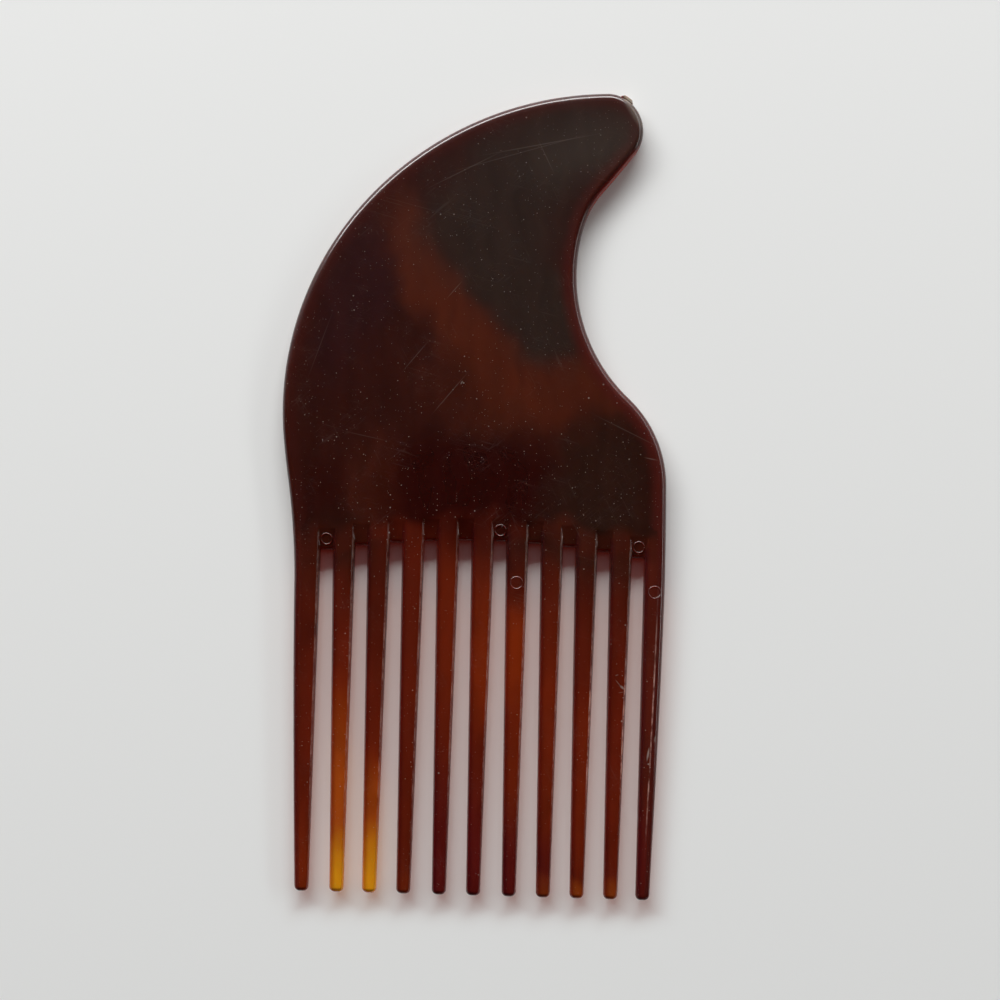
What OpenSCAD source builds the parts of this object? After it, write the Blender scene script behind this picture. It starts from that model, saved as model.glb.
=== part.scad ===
// Hair pick moulded in one piece: a flat handle shaped like a curled wave, and a row of eleven
// tapering teeth. It lies flat on its back. The teeth point to -Y and the tip of the handle to +Y.

/* [Plate] */
// Thickness of the handle
plate_t = 3.4; // [3:0.1:4]
// Radius that rounds the outer edge of the handle and the outer sides of the end teeth
edge_r = 1.0; // [0.6:0.1:1.2]

/* [Teeth] */
// Spacing of the teeth at the gap roots
root_pitch = 7.09; // [7.05:0.01:7.12]
// Spacing of the teeth at their tips
tip_pitch = 7.0; // [6.95:0.01:7.05]
// Width of a tooth at the gap roots
root_w = 4.65; // [4.2:0.05:4.9]
// Width of a tooth just above its rounded tip
tip_w = 2.85; // [2.4:0.05:3.2]
// Thickness of a tooth just above its rounded tip
tip_t = 1.8; // [1.4:0.1:2.4]
// Length of the rounded tip
tip_l = 1.1; // [0.8:0.1:1.3]
// Radius that rounds the long edges of the teeth
tooth_r = 0.45; // [0.3:0.05:0.6]

/* [Gaps] */
// Length of the middle gaps, from the tips to the gap root
gap_l = 72.7; // [71:0.1:74]
// Radius of the arch on which the gap roots lie
arch_r = 189; // [160:1:240]
// Length of the ramp that runs down from each face to a gap root
ramp_l = 4.6; // [4:0.1:5]
// Thickness of the web at a gap root, where its edge is fully rounded
web_t = 2.0; // [1.6:0.1:2.4]

/* [Outline] */
// Height above the tips at which the outline starts, on the outer side of the right end tooth
start_y = 61.5; // [61:0.5:62]
// Distance of that start from the middle line of the comb
start_x = 37.6; // [37.4:0.1:37.8]
// Length of the straight side under the shoulder
side_l = 23.5; // [23:0.5:24]
// Length of the rounded shoulder
shoulder_l = 20; // [19.5:0.5:20.5]
// Turn of the rounded shoulder, in degrees
shoulder_turn = 46.5; // [46:0.5:47]
// Length of the bay that the fingers grip
bay_l = 38; // [37.5:0.5:38.5]
// Turn of the bay, in degrees
bay_turn = -63; // [-63.5:0.5:-62.5]
// Length of the tighter curve at the top of the bay
throat_l = 8.5; // [8:0.5:9]
// Turn of that tighter curve, in degrees
throat_turn = -25; // [-25.5:0.5:-24.5]
// Length of the nearly straight underside of the tip
neck_l = 10; // [9.5:0.5:10.5]
// Length around the end of the tip
nose_l = 14.5; // [14:0.5:15]
// Turn around the end of the tip, in degrees
nose_turn = 107; // [106.5:0.5:107.5]
// Length of the flatter curve from the tip over the crown
crown_l = 52.5; // [52:0.5:53]
// Turn of the crown, in degrees
crown_turn = 44; // [43.5:0.5:44.5]
// Length of the round back
back_l = 56.5; // [56:0.5:57]
// Turn of the round back, in degrees
back_turn = 50.5; // [50:0.5:51]

/* [Moulding marks] */
// Diameter of the ejector marks between the teeth
ramp_mark_d = 2.4; // [2:0.1:2.4]
// Diameter of the ejector marks on the teeth
tooth_mark_d = 2.8; // [2.4:0.1:3]
// Height of the ejector marks
mark_h = 0.1; // [0.1:0.05:0.2]
// Distance that the trimmed gate stands proud of the tip
gate_h = 0.5; // [0.4:0.1:0.6]
// Length of the gate along the tip's edge
gate_l = 3; // [2.4:0.1:3.2]
// Thickness of the gate
gate_t = 1.6; // [1.2:0.1:1.8]

/* [Hidden] */

// Number of teeth that the width of the handle holds
teeth = 11;
// Steps in each quarter of a rounded edge
EDGE_STEPS = 4;
// Degrees and millimetres of outline that one straight facet may cover
FACET_TURN = 5;
FACET_L = 8;

// Stretches of the outline, counterclockwise from the right end tooth to the left end tooth.
// Each is an arc, given by its length and by the degrees that it turns, to the left if positive.
LENGTH = 0;
TURN = 1;
stretches = [
    [side_l, 1.5],               // straight side
    [shoulder_l, shoulder_turn], // shoulder
    [bay_l, bay_turn],           // finger bay
    [throat_l, throat_turn],     // top of the bay
    [neck_l, 3],                 // underside of the tip
    [nose_l, nose_turn],         // end of the tip
    [2.5, 22],                   // its blend into the crown
    [crown_l, crown_turn],       // crown
    [back_l, back_turn],         // round back
    [7.5, 2.5],                  // hip
    [20, -7]                     // hollow flank down to the left end tooth
];

// How far each tooth's tip has been bent sideways in use, from left to right
tip_bend = [-0.2, 0, -0.3, -0.3, 0, 0, 0.3, 0.3, 0.2, 0.1, -0.3];
// Height above the tips where the end teeth begin to lean inwards, and how that lean grows
flank_y = 65;
flank_power = 1.4;
// How far teeth and webs reach into the handle, and how far the outer sides of the end teeth tuck in
seat_l = 2;
web_seat_l = 0.5;
seat_tuck = 0.6;
// Heights above the tips of the rings between which an end tooth is straight
flank_rings = [flank_y, 52, 40, 26, 12];
// Steps down from the handle to the first of them
flank_steps = [3, 6];
// Half width that is left where a rounded tip ends, and the angles of the rings that round it
tip_flat = 0.35;
tip_angles = [0, 18, 36, 54, 72, 84];
// Points of the outline closer than this to the handle's foot are left out
foot_gap = 0.2;
// Gaps and teeth that carry an ejector mark, counted from the left, and the marks' heights
marked_gaps = [0, 5, 9];
marked_teeth = [[6, 64.4], [10, 63.2]];
// How deep the marks and the gate are sunk into the pick
mark_sink = 0.3;
gate_sink = 1.2;
// Place of the gate on the tip's edge, in the comb's frame, and the direction it points, in degrees
gate_place = [27.05, 163.75];
gate_turn = 55;

function gap_x(i) = (i - (teeth - 2) / 2) * root_pitch;
function gap_y(i) = gap_l - arch_r + sqrt(arch_r * arch_r - gap_x(i) * gap_x(i));
function ramp_y(i) = gap_y(i) + ramp_l;
function root_x(i) = (i - (teeth - 1) / 2) * root_pitch;
function tip_x(i) = (i - (teeth - 1) / 2) * tip_pitch + tip_bend[i];
// Heights where tooth i leaves the handle on its left and on its right
function left_y(i) = ramp_y(max(i - 1, 0));
function right_y(i) = ramp_y(min(i, teeth - 2));

// Point at fraction f of an arc that starts at p with heading h
function arc_point(p, h, length, turn, f) =
    let (r = length / turn * 180 / PI)
    p + r * [sin(h + turn * f) - sin(h), cos(h) - cos(h + turn * f)];
function arc_steps(s) = ceil(abs(s[TURN]) / FACET_TURN + s[LENGTH] / FACET_L);
function arc_points(p, h, s, inset) =
    let (length = s[LENGTH] - inset * s[TURN] * PI / 180, n = arc_steps(s))
    [for (k = [1:n]) arc_point(p, h, length, s[TURN], k / n)];
function walk(p, h, inset, i = 0) =
    i == len(stretches) ? [] :
    let (points = arc_points(p, h, stretches[i], inset))
    concat(points, walk(points[len(points) - 1], h + stretches[i][TURN], inset, i + 1));

// The outline, moved inwards by inset
function outline(inset) =
    let (start = [start_x - inset, start_y])
    concat([start], walk(start, 90, inset));
function heights(points) = [for (p = points) [p.y, p.x]];
function flank_x(points, side, y) =
    lookup(y, heights([for (p = points) if (side * p.x > 0 && p.y < start_y + side_l) p]));

// The handle's plan: the outline above the teeth, then steps from gap to gap under the teeth
function handle_plan(inset) =
    let (points = outline(inset), foot = ramp_y(0))
    concat(
        [[flank_x(points, 1, foot), foot]],
        [for (p = points) if (p.y > foot + foot_gap) p],
        [[flank_x(points, -1, foot), foot]],
        [for (i = [1:teeth - 2], y = [left_y(i), right_y(i)]) [root_x(i), y]]
    );

// Insets and heights of a rounded edge of radius r, from the back face to the front face
function rounded_edge(r, t) = concat(
    [for (k = [0:EDGE_STEPS]) r * [1 - sin(90 * k / EDGE_STEPS), 1 - cos(90 * k / EDGE_STEPS)]],
    [for (k = [0:EDGE_STEPS]) [0, t] + r * [1 - cos(90 * k / EDGE_STEPS), sin(90 * k / EDGE_STEPS) - 1]]
);

// Solid through rings that have the same number of points
module loft(rings) {
    n = len(rings[0]);
    last = len(rings) - 1;
    polyhedron(
        points = [for (ring = rings, p = ring) p],
        faces = concat(
            [[for (k = [0:n - 1]) k]],
            [for (j = [0:last - 1], k = [0:n - 1])
                [(j + 1) * n + k, (j + 1) * n + (k + 1) % n, j * n + (k + 1) % n, j * n + k]],
            [[for (k = [0:n - 1]) last * n + n - 1 - k]]
        )
    );
}

module handle() {
    loft([for (e = rounded_edge(edge_r, plate_t)) [for (p = handle_plan(e[0])) [p.x, p.y, e[1]]]]);
}

// Points of a quarter circle around c in the XZ plane, from angle a
function corner(c, r, a, y) =
    [for (k = [0:EDGE_STEPS]) let (b = a + 90 * k / EDGE_STEPS) [c[0] + r * cos(b), y, c[1] + r * sin(b)]];

// Section of a tooth: x from a to b, thickness t, with its sides rounded by ra and rb
function tooth_ring(y, a, b, t, ra, rb) =
    let (m = plate_t / 2, h = t / 2, qa = min(ra, h), qb = min(rb, h))
    concat(
        corner([b - qb, m + h - qb], qb, 0, y),
        corner([a + qa, m + h - qa], qa, 90, y),
        corner([a + qa, m - h + qa], qa, 180, y),
        corner([b - qb, m - h + qb], qb, 270, y)
    );

// Middle, half width and thickness of tooth i at height y above the tips
function tooth_foot(i) = min(left_y(i), right_y(i));
function tooth_x(i, y) = tip_x(i) + (root_x(i) - tip_x(i)) * y / gap_l;
function tooth_half(y) = (tip_w + (root_w - tip_w) * y / gap_l) / 2;
function tooth_t(i, y) = tip_t + (plate_t - tip_t) * min(y / tooth_foot(i), 1);

// Outer side of an end tooth: along the outline, then leaning inwards to the tip
function outer_x(i, side, y) =
    let (points = outline(0), tip = tip_x(i) + side * tip_w / 2)
    y > flank_y ? flank_x(points, side, y) :
    tip + (flank_x(points, side, flank_y) - tip) * (1 - pow(1 - y / flank_y, flank_power));
function side_x(i, side, y) =
    let (end = side < 0 ? 0 : teeth - 1)
    i == end ? outer_x(i, side, y) : tooth_x(i, y) + side * tooth_half(y);

function end_tooth(i) = i == 0 || i == teeth - 1;
function side_r(i, side) = i == (side < 0 ? 0 : teeth - 1) ? edge_r : tooth_r;
function plain_ring(i, y, tuck) =
    tooth_ring(
        y, side_x(i, -1, y) + tuck, side_x(i, 1, y) - tuck, tooth_t(i, y), side_r(i, -1), side_r(i, 1)
    );

// Rings along the rounded tip, which is tip_l long
function tip_ring(i, angle) =
    let (
        y = tip_l * (1 - sin(angle)),
        tuck = (tip_w / 2 - tip_flat) * (1 - cos(angle)),
        t = tooth_t(i, tip_l) * cos(angle)
    )
    tooth_ring(y, side_x(i, -1, y) + tuck, side_x(i, 1, y) - tuck, t, side_r(i, -1), side_r(i, 1));

module tooth(i) {
    foot = tooth_foot(i);
    bends = end_tooth(i) ? concat([for (d = flank_steps) foot - d], flank_rings) : [];
    seat = plain_ring(i, max(left_y(i), right_y(i)) + seat_l, end_tooth(i) ? seat_tuck : 0);
    loft(concat(
        [seat, plain_ring(i, foot, 0)],
        [for (y = bends) plain_ring(i, y, 0)],
        [for (angle = tip_angles) tip_ring(i, angle)]
    ));
}

// Web between teeth i and i + 1, with a ramp on each face down to the rounded gap root
module web(i) {
    r = web_t / 2;
    a = root_x(i) + root_w / 4;
    w = root_x(i + 1) - root_w / 4 - a;
    hull() {
        translate([a, ramp_y(i), 0]) cube([w, web_seat_l, plate_t]);
        translate([a, gap_y(i) + r, plate_t / 2]) rotate([0, 90, 0]) cylinder(r = r, h = w, $fn = 24);
    }
}

// Round mark that an ejector pin left, standing slightly proud
module mark(x, y, z, d, slope) {
    translate([x, y, z]) rotate([slope, 0, 0]) translate([0, 0, -mark_sink])
        cylinder(d = d, h = mark_sink + mark_h, $fn = 24);
}

// Marks halfway down the ramps of three gaps, and on two teeth below them
module marks() {
    run = ramp_l - web_t / 2;
    drop = (plate_t - web_t) / 2;
    for (i = marked_gaps) {
        down = ramp_l / 2;
        mark(gap_x(i), ramp_y(i) - down, plate_t - drop * down / run, ramp_mark_d, atan(drop / run));
    }
    for (m = marked_teeth) {
        mark(tooth_x(m[0], m[1]), m[1], (plate_t + tooth_t(m[0], m[1])) / 2, tooth_mark_d, 0);
    }
}

// Rest of the gate where the mould was filled, on the end of the tip
module gate() {
    a = gate_l / 2;
    plan = [[-gate_sink, -a], [0, -a], [gate_h, -a / 4], [gate_h, a / 3], [0, a], [-gate_sink, a]];
    translate([gate_place.x, gate_place.y, (plate_t - gate_t) / 2]) rotate([0, 0, gate_turn])
        linear_extrude(gate_t) polygon(plan);
}

// Distance from the comb's frame to the part's own, whose origin is under the middle of the pick
outline_x = [for (p = outline(0)) p.x];
outline_y = [for (p = outline(0)) p.y];
middle = [(min(outline_x) + max(outline_x)) / 2, max(outline_y) / 2];

module pick() {
    color([0.27, 0.08, 0.05]) translate([-middle.x, -middle.y, 0]) {
        handle();
        for (i = [0:teeth - 1]) tooth(i);
        for (i = [0:teeth - 2]) web(i);
        marks();
        gate();
    }
}

pick();
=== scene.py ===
"""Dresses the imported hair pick: one moulding of tortoiseshell plastic that lies on a pale table.

All lengths in the classes that make the mesh are millimetres in the comb's frame, x from the comb's
middle line and y from the tooth tips, as in the part's source. The mesh itself lies in the part's
frame, in metres. Places and heights in the finishes are millimetres in the part's frame.
"""

import logging
import math
from dataclasses import dataclass, field
from enum import Enum
from functools import cached_property, reduce

import bmesh
import bpy
import numpy as np
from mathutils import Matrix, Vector
from mathutils.geometry import delaunay_2d_cdt

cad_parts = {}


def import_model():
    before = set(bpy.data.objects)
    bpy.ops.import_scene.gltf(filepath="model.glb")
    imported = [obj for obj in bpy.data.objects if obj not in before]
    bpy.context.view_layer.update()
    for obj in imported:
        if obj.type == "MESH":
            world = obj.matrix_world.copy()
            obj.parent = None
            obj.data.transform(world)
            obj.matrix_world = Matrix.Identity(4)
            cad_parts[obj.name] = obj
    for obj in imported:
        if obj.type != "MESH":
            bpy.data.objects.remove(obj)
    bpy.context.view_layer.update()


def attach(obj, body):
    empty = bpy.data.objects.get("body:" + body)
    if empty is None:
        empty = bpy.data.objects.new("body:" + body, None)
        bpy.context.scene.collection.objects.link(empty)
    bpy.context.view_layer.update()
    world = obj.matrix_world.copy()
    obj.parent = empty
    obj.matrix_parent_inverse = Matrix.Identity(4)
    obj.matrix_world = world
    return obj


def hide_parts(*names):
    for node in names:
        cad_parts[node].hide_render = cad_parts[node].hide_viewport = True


log = logging.getLogger("hair_pick")

# Two values, such as heights, between which something fades in.
Span = tuple[float, float]
Triple = tuple[float, float, float]
Rgba = tuple[float, float, float, float]

MM = 0.001
# Distances from the edges at points that are near none of them.
FAR = (9.0, 9.0, 9.0)
# Names under which the mesh keeps them.
EDGES = ("rim", "left", "right")
# Mean distance between teeth, and place of their middle line and tips in the part's frame.
TOOTH_PITCH = 7.05
MIDDLE_TOOTH = 5
MIDDLE_X = 2.08
TIP_Y = 82.48
ARCH_RADIUS = 189.0


class Side(Enum):
    """Side of a tooth, with the sign of its direction along x."""

    LEFT = -1
    RIGHT = 1


class Tone(Enum):
    """Tones of the mottled plastic, as linear colours."""

    GROUND = (0.026, 0.0050, 0.0030)
    OLIVE = (0.0235, 0.0125, 0.0090)
    UMBER = (0.021, 0.0072, 0.0042)
    PLUM = (0.024, 0.0055, 0.0055)
    WINE = (0.0195, 0.0018, 0.0010)
    EMBER = (0.070, 0.0125, 0.0048)
    BRICK = (0.078, 0.0100, 0.0050)
    RUST = (0.114, 0.0104, 0.0030)
    FLAME = (0.185, 0.0195, 0.0025)
    AMBER = (0.304, 0.0560, 0.0050)
    HONEY = (0.700, 0.3000, 0.0075)
    CRIMSON = (0.084, 0.0056, 0.0046)
    # Painted glow of light through the thin outer edge.
    RIM_GLOW = (0.062, 0.0085, 0.0060)
    HORN = (0.360, 0.3300, 0.2700)
    DUST = (0.300, 0.2300, 0.2000)
    SMOKE = (0.048, 0.0200, 0.0130)

    @property
    def rgba(self) -> tuple[float, ...]:
        """The tone with full opacity, as sockets take it."""
        return (*self.value, 1)


@dataclass(frozen=True)
class Stretch:
    """One arc of the outline.

    Args:
        length: Length of the arc.
        turn: Degrees that it turns, to the left if positive.
    """

    length: float
    turn: float


@dataclass(frozen=True)
class Outline:
    """The outline of the handle, counterclockwise from the right end tooth to the left one.

    Args:
        start: Where it leaves the right end tooth.
        stretches: Its arcs, in their order.
        facet_turn: Degrees of turn that add one more straight piece to an arc.
        facet_length: Length that adds one more.
        middle: Origin of the part's frame.
    """

    start: tuple[float, float] = (37.6, 61.5)
    stretches: tuple[Stretch, ...] = (
        Stretch(23.5, 1.5),
        Stretch(20, 46.5),
        Stretch(38, -63),
        Stretch(8.5, -25),
        Stretch(10, 3),
        Stretch(14.5, 107),
        Stretch(2.5, 22),
        Stretch(52.5, 44),
        Stretch(56.5, 50.5),
        Stretch(7.5, 2.5),
        Stretch(20, -7),
    )
    facet_turn: float = 2.0
    facet_length: float = 2.0
    middle: tuple[float, float] = (-2.083, 82.478)

    def points(self, inset: float) -> np.ndarray:
        """Walks the outline.

        Args:
            inset: Distance that the outline is moved inwards.

        Returns:
            Its points, one row each, the same number for every inset.
        """
        place = np.array([self.start[0] - inset, self.start[1]])
        heading = math.pi / 2
        rows = [place]
        for arc in self.stretches:
            turn = math.radians(arc.turn)
            radius = (arc.length - inset * turn) / turn
            steps = math.ceil(abs(arc.turn) / self.facet_turn + arc.length / self.facet_length)
            for step in range(1, steps + 1):
                end = heading + turn * step / steps
                shift = [math.sin(end) - math.sin(heading), math.cos(heading) - math.cos(end)]
                rows.append(place + radius * np.array(shift))
            place = rows[-1]
            heading += turn
        return np.array(rows)

    @cached_property
    def edge(self) -> np.ndarray:
        """The outline itself."""
        return self.points(0)

    def flank(self, side: Side, height: float) -> float:
        """Finds the outline beside the end teeth.

        Args:
            side: Side of the comb.
            height: Height above the tooth tips.

        Returns:
            Distance of the outline from the middle line, negative on the left.
        """
        low = self.start[1] + self.stretches[0].length
        rows = self.edge[(self.edge[:, 0] * side.value > 0) & (self.edge[:, 1] < low)]
        rows = rows[np.argsort(rows[:, 1])]
        return float(np.interp(height, rows[:, 1], rows[:, 0]))


@dataclass(frozen=True)
class Teeth:
    """The row of tapering teeth and the webs between them.

    Args:
        outline: The outline that the end teeth carry on.
        count: Number of teeth.
        plate: Thickness of the plate.
        root_pitch: Distance between neighbours at their roots.
        tip_pitch: Distance between them at their tips.
        root_width: Width of a tooth at its root.
        tip_width: Width of it at its tip.
        tip_thickness: Thickness of it at its tip.
        tip_length: Length of the rounding at its tip.
        tip_flat: Half the width that the rounding leaves.
        edge_radius: Rounding of the edges between the teeth.
        edge_draft: How far the sides there slope in to each face at a tooth's root.
        outer_radius: Rounding of the outer edge.
        gap_length: Height of the middle root above the tips.
        arch_radius: Radius of the arch that the roots lie on.
        ramp_length: Length of the ramps above the roots.
        web_thickness: Thickness of the webs at the roots.
        flank_height: Height up to which the end teeth lean out towards the outline.
        flank_power: How early they do.
        bends: How far each tip is bent to the right.
    """

    outline: Outline
    count: int = 11
    plate: float = 3.4
    root_pitch: float = 7.09
    tip_pitch: float = 7.0
    root_width: float = 4.65
    tip_width: float = 2.85
    tip_thickness: float = 1.8
    tip_length: float = 1.1
    tip_flat: float = 0.35
    edge_radius: float = 0.4
    edge_draft: float = 0.38
    outer_radius: float = 1.6
    gap_length: float = 72.7
    arch_radius: float = ARCH_RADIUS
    ramp_length: float = 4.6
    web_thickness: float = 2.0
    flank_height: float = 65.0
    flank_power: float = 1.4
    bends: tuple[float, ...] = (-0.2, 0, -0.3, -0.3, 0, 0, 0.3, 0.3, 0.2, 0.1, -0.3)

    def gap_x(self, gap: int) -> float:
        """Middle of a gap, counted from the left."""
        return (gap - (self.count - 2) / 2) * self.root_pitch

    def arch_y(self, x: float) -> float:
        """Height of the arch that the roots lie on."""
        return self.gap_length - self.arch_radius + math.sqrt(self.arch_radius**2 - x**2)

    def gap_y(self, gap: int) -> float:
        """Height of a gap's root."""
        return self.arch_y(self.gap_x(gap))

    def ramp_y(self, gap: int) -> float:
        """Height at which the ramp above a gap's root meets the face."""
        return self.gap_y(gap) + self.ramp_length

    def gap_beside(self, tooth: int, side: Side) -> int:
        """The gap on one side of a tooth, or the nearest one where it has none."""
        return min(max(tooth - 1 if side is Side.LEFT else tooth, 0), self.count - 2)

    def foot(self, tooth: int) -> float:
        """Height at which a tooth reaches its full thickness."""
        return min(self.ramp_y(self.gap_beside(tooth, side)) for side in Side)

    def middle_x(self, tooth: int, height: float) -> float:
        """Finds the middle line of a tooth.

        Args:
            tooth: The tooth, counted from the left.
            height: Height above the tips.

        Returns:
            Distance of its middle from the comb's middle line.
        """
        place = tooth - (self.count - 1) / 2
        tip = place * self.tip_pitch + self.bends[tooth]
        return tip + (place * self.root_pitch - tip) * height / self.gap_length

    def half_width(self, height: float) -> float:
        """Half the width of a tooth at a height above the tips."""
        return (self.tip_width + (self.root_width - self.tip_width) * height / self.gap_length) / 2

    def is_outer(self, tooth: int, side: Side) -> bool:
        """Whether this side of the tooth is part of the comb's outer edge."""
        return tooth == (0 if side is Side.LEFT else self.count - 1)

    def side_top(self, tooth: int, side: Side) -> float:
        """Height at which a side of a tooth ends, at a gap's root or at the handle's outline."""
        return self.foot(tooth) if self.is_outer(tooth, side) else self.gap_y(self.gap_beside(tooth, side))

    def side_x(self, tooth: int, side: Side, height: float) -> float:
        """Finds a side of a tooth.

        Args:
            tooth: The tooth, counted from the left.
            side: Its side.
            height: Height above the tips.

        Returns:
            Distance of the side from the comb's middle line.
        """
        if not self.is_outer(tooth, side):
            return self.middle_x(tooth, height) + side.value * self.half_width(height)
        if height > self.flank_height:
            return self.outline.flank(side, height)
        tip = self.middle_x(tooth, 0) + side.value * self.tip_width / 2
        lean = 1 - (1 - height / self.flank_height) ** self.flank_power
        return tip + (self.outline.flank(side, self.flank_height) - tip) * lean

    def half_thickness(self, tooth: int, height: float) -> float:
        """Half the thickness of a tooth at a height above the tips."""
        rise = min(height / self.foot(tooth), 1)
        return (self.tip_thickness + (self.plate - self.tip_thickness) * rise) / 2

    def web_half(self, gap: int, height: float) -> float:
        """Half the thickness of the web above a gap's root.

        Args:
            gap: The gap, counted from the left.
            height: Height above the tips.

        Returns:
            The half thickness: a round nose, then a ramp up to the full plate. Below the root it
            is negative.
        """
        nose = self.web_thickness / 2
        full = self.plate / 2
        run = height - self.gap_y(gap)
        if run < -1e-9:
            return -1.0
        if run >= self.ramp_length:
            return full
        corner = (self.ramp_length - nose, full)
        away = math.atan2(corner[1], corner[0]) + math.acos(nose / math.hypot(*corner))
        touch = (nose + nose * math.cos(away), nose * math.sin(away))
        if run <= touch[0]:
            return math.sqrt(max(nose**2 - (nose - run) ** 2, 0))
        return touch[1] + (full - touch[1]) * (run - touch[0]) / (self.ramp_length - touch[0])


@dataclass(frozen=True)
class EjectorMark:
    """Round witness line that an ejector pin left on the front.

    Args:
        x: Place across the comb.
        y: Height above the tooth tips.
        radius: Radius of the line.
        rise: How far the line stands up.
        width: Half the width of the line.
    """

    x: float
    y: float
    radius: float
    rise: float = 0.105
    width: float = 0.12

    def rings(self) -> list[tuple[float, float]]:
        """Radius and rise of each ring of points across the line."""
        steps = (-1.0, -0.5, 0.0, 0.5, 1.0)
        return [(self.radius + self.width * step, self.rise * (1 - step * step)) for step in steps]

    def covers(self, x: float, y: float, clear: float) -> bool:
        """Whether a point lies within the line or less than the clearance outside it."""
        return math.hypot(x - self.x, y - self.y) < self.radius + self.width + clear


@dataclass(frozen=True)
class Gate:
    """Trimmed rest of the gate on the end of the tip.

    Args:
        x: Place across the comb.
        y: Height above the tooth tips.
        reach: How far it stands out.
        half_length: Half its length along the edge.
        half_thickness: Half its thickness.
        steepness: How quickly it rises from its ends.
    """

    x: float = 27.05
    y: float = 163.75
    reach: float = 0.5
    half_length: float = 1.5
    half_thickness: float = 0.8
    steepness: float = 2.2

    def stand(self, point: np.ndarray) -> float:
        """How far the gate stands proud of the outline at a point of it."""
        away = math.hypot(point[0] - self.x, point[1] - self.y) / self.half_length
        return self.reach * min(max(self.steepness * (1 - away), 0), 1)


@dataclass
class Plan:
    """Points of the pick's plan, with the front's and back's distance from the middle plane.

    Args:
        places: The points.
        halves: Distance of both faces from the middle plane.
        rises: How far the front alone stands higher.
        edges: Distances from the outer edge, the tooth's left side and its right side.
        lines: Pairs of points whose edge the triangles keep.
        known: Number of the point at each rounded place.
    """

    places: list[tuple[float, float]] = field(default_factory=list)
    halves: list[float] = field(default_factory=list)
    rises: list[float] = field(default_factory=list)
    edges: list[tuple[float, float, float]] = field(default_factory=list)
    lines: list[tuple[int, int]] = field(default_factory=list)
    known: dict[tuple[int, int], int] = field(default_factory=dict)

    def point(
        self, x: float, y: float, half: float, edges: tuple[float, ...] = FAR, rise: float = 0.0
    ) -> int:
        """Adds a point, or finds the one that is there.

        Args:
            x: Place across the comb.
            y: Height above the tooth tips.
            half: Distance of both faces from the middle plane.
            edges: Distance from the outer edge, the tooth's left side and its right side, as far
                as they are known.
            rise: How far the front alone stands higher.

        Returns:
            The point's number.
        """
        key = (round(x * 1e4), round(y * 1e4))
        if key not in self.known:
            self.known[key] = len(self.places)
            self.places.append((x, y))
            self.halves.append(half)
            self.rises.append(rise)
            self.edges.append(edges)
        number = self.known[key]
        self.halves[number] = max(self.halves[number], half)
        self.edges[number] = tuple(map(min, self.edges[number], edges))
        return number

    def chain(self, numbers: list[int | None], closed: bool = False) -> None:
        """Keeps the edges between points that follow one another, with a break at each None."""
        ends = numbers[1:] + numbers[:1] if closed else numbers[1:]
        self.lines += [(a, b) for a, b in zip(numbers, ends) if a != b and None not in (a, b)]


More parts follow.
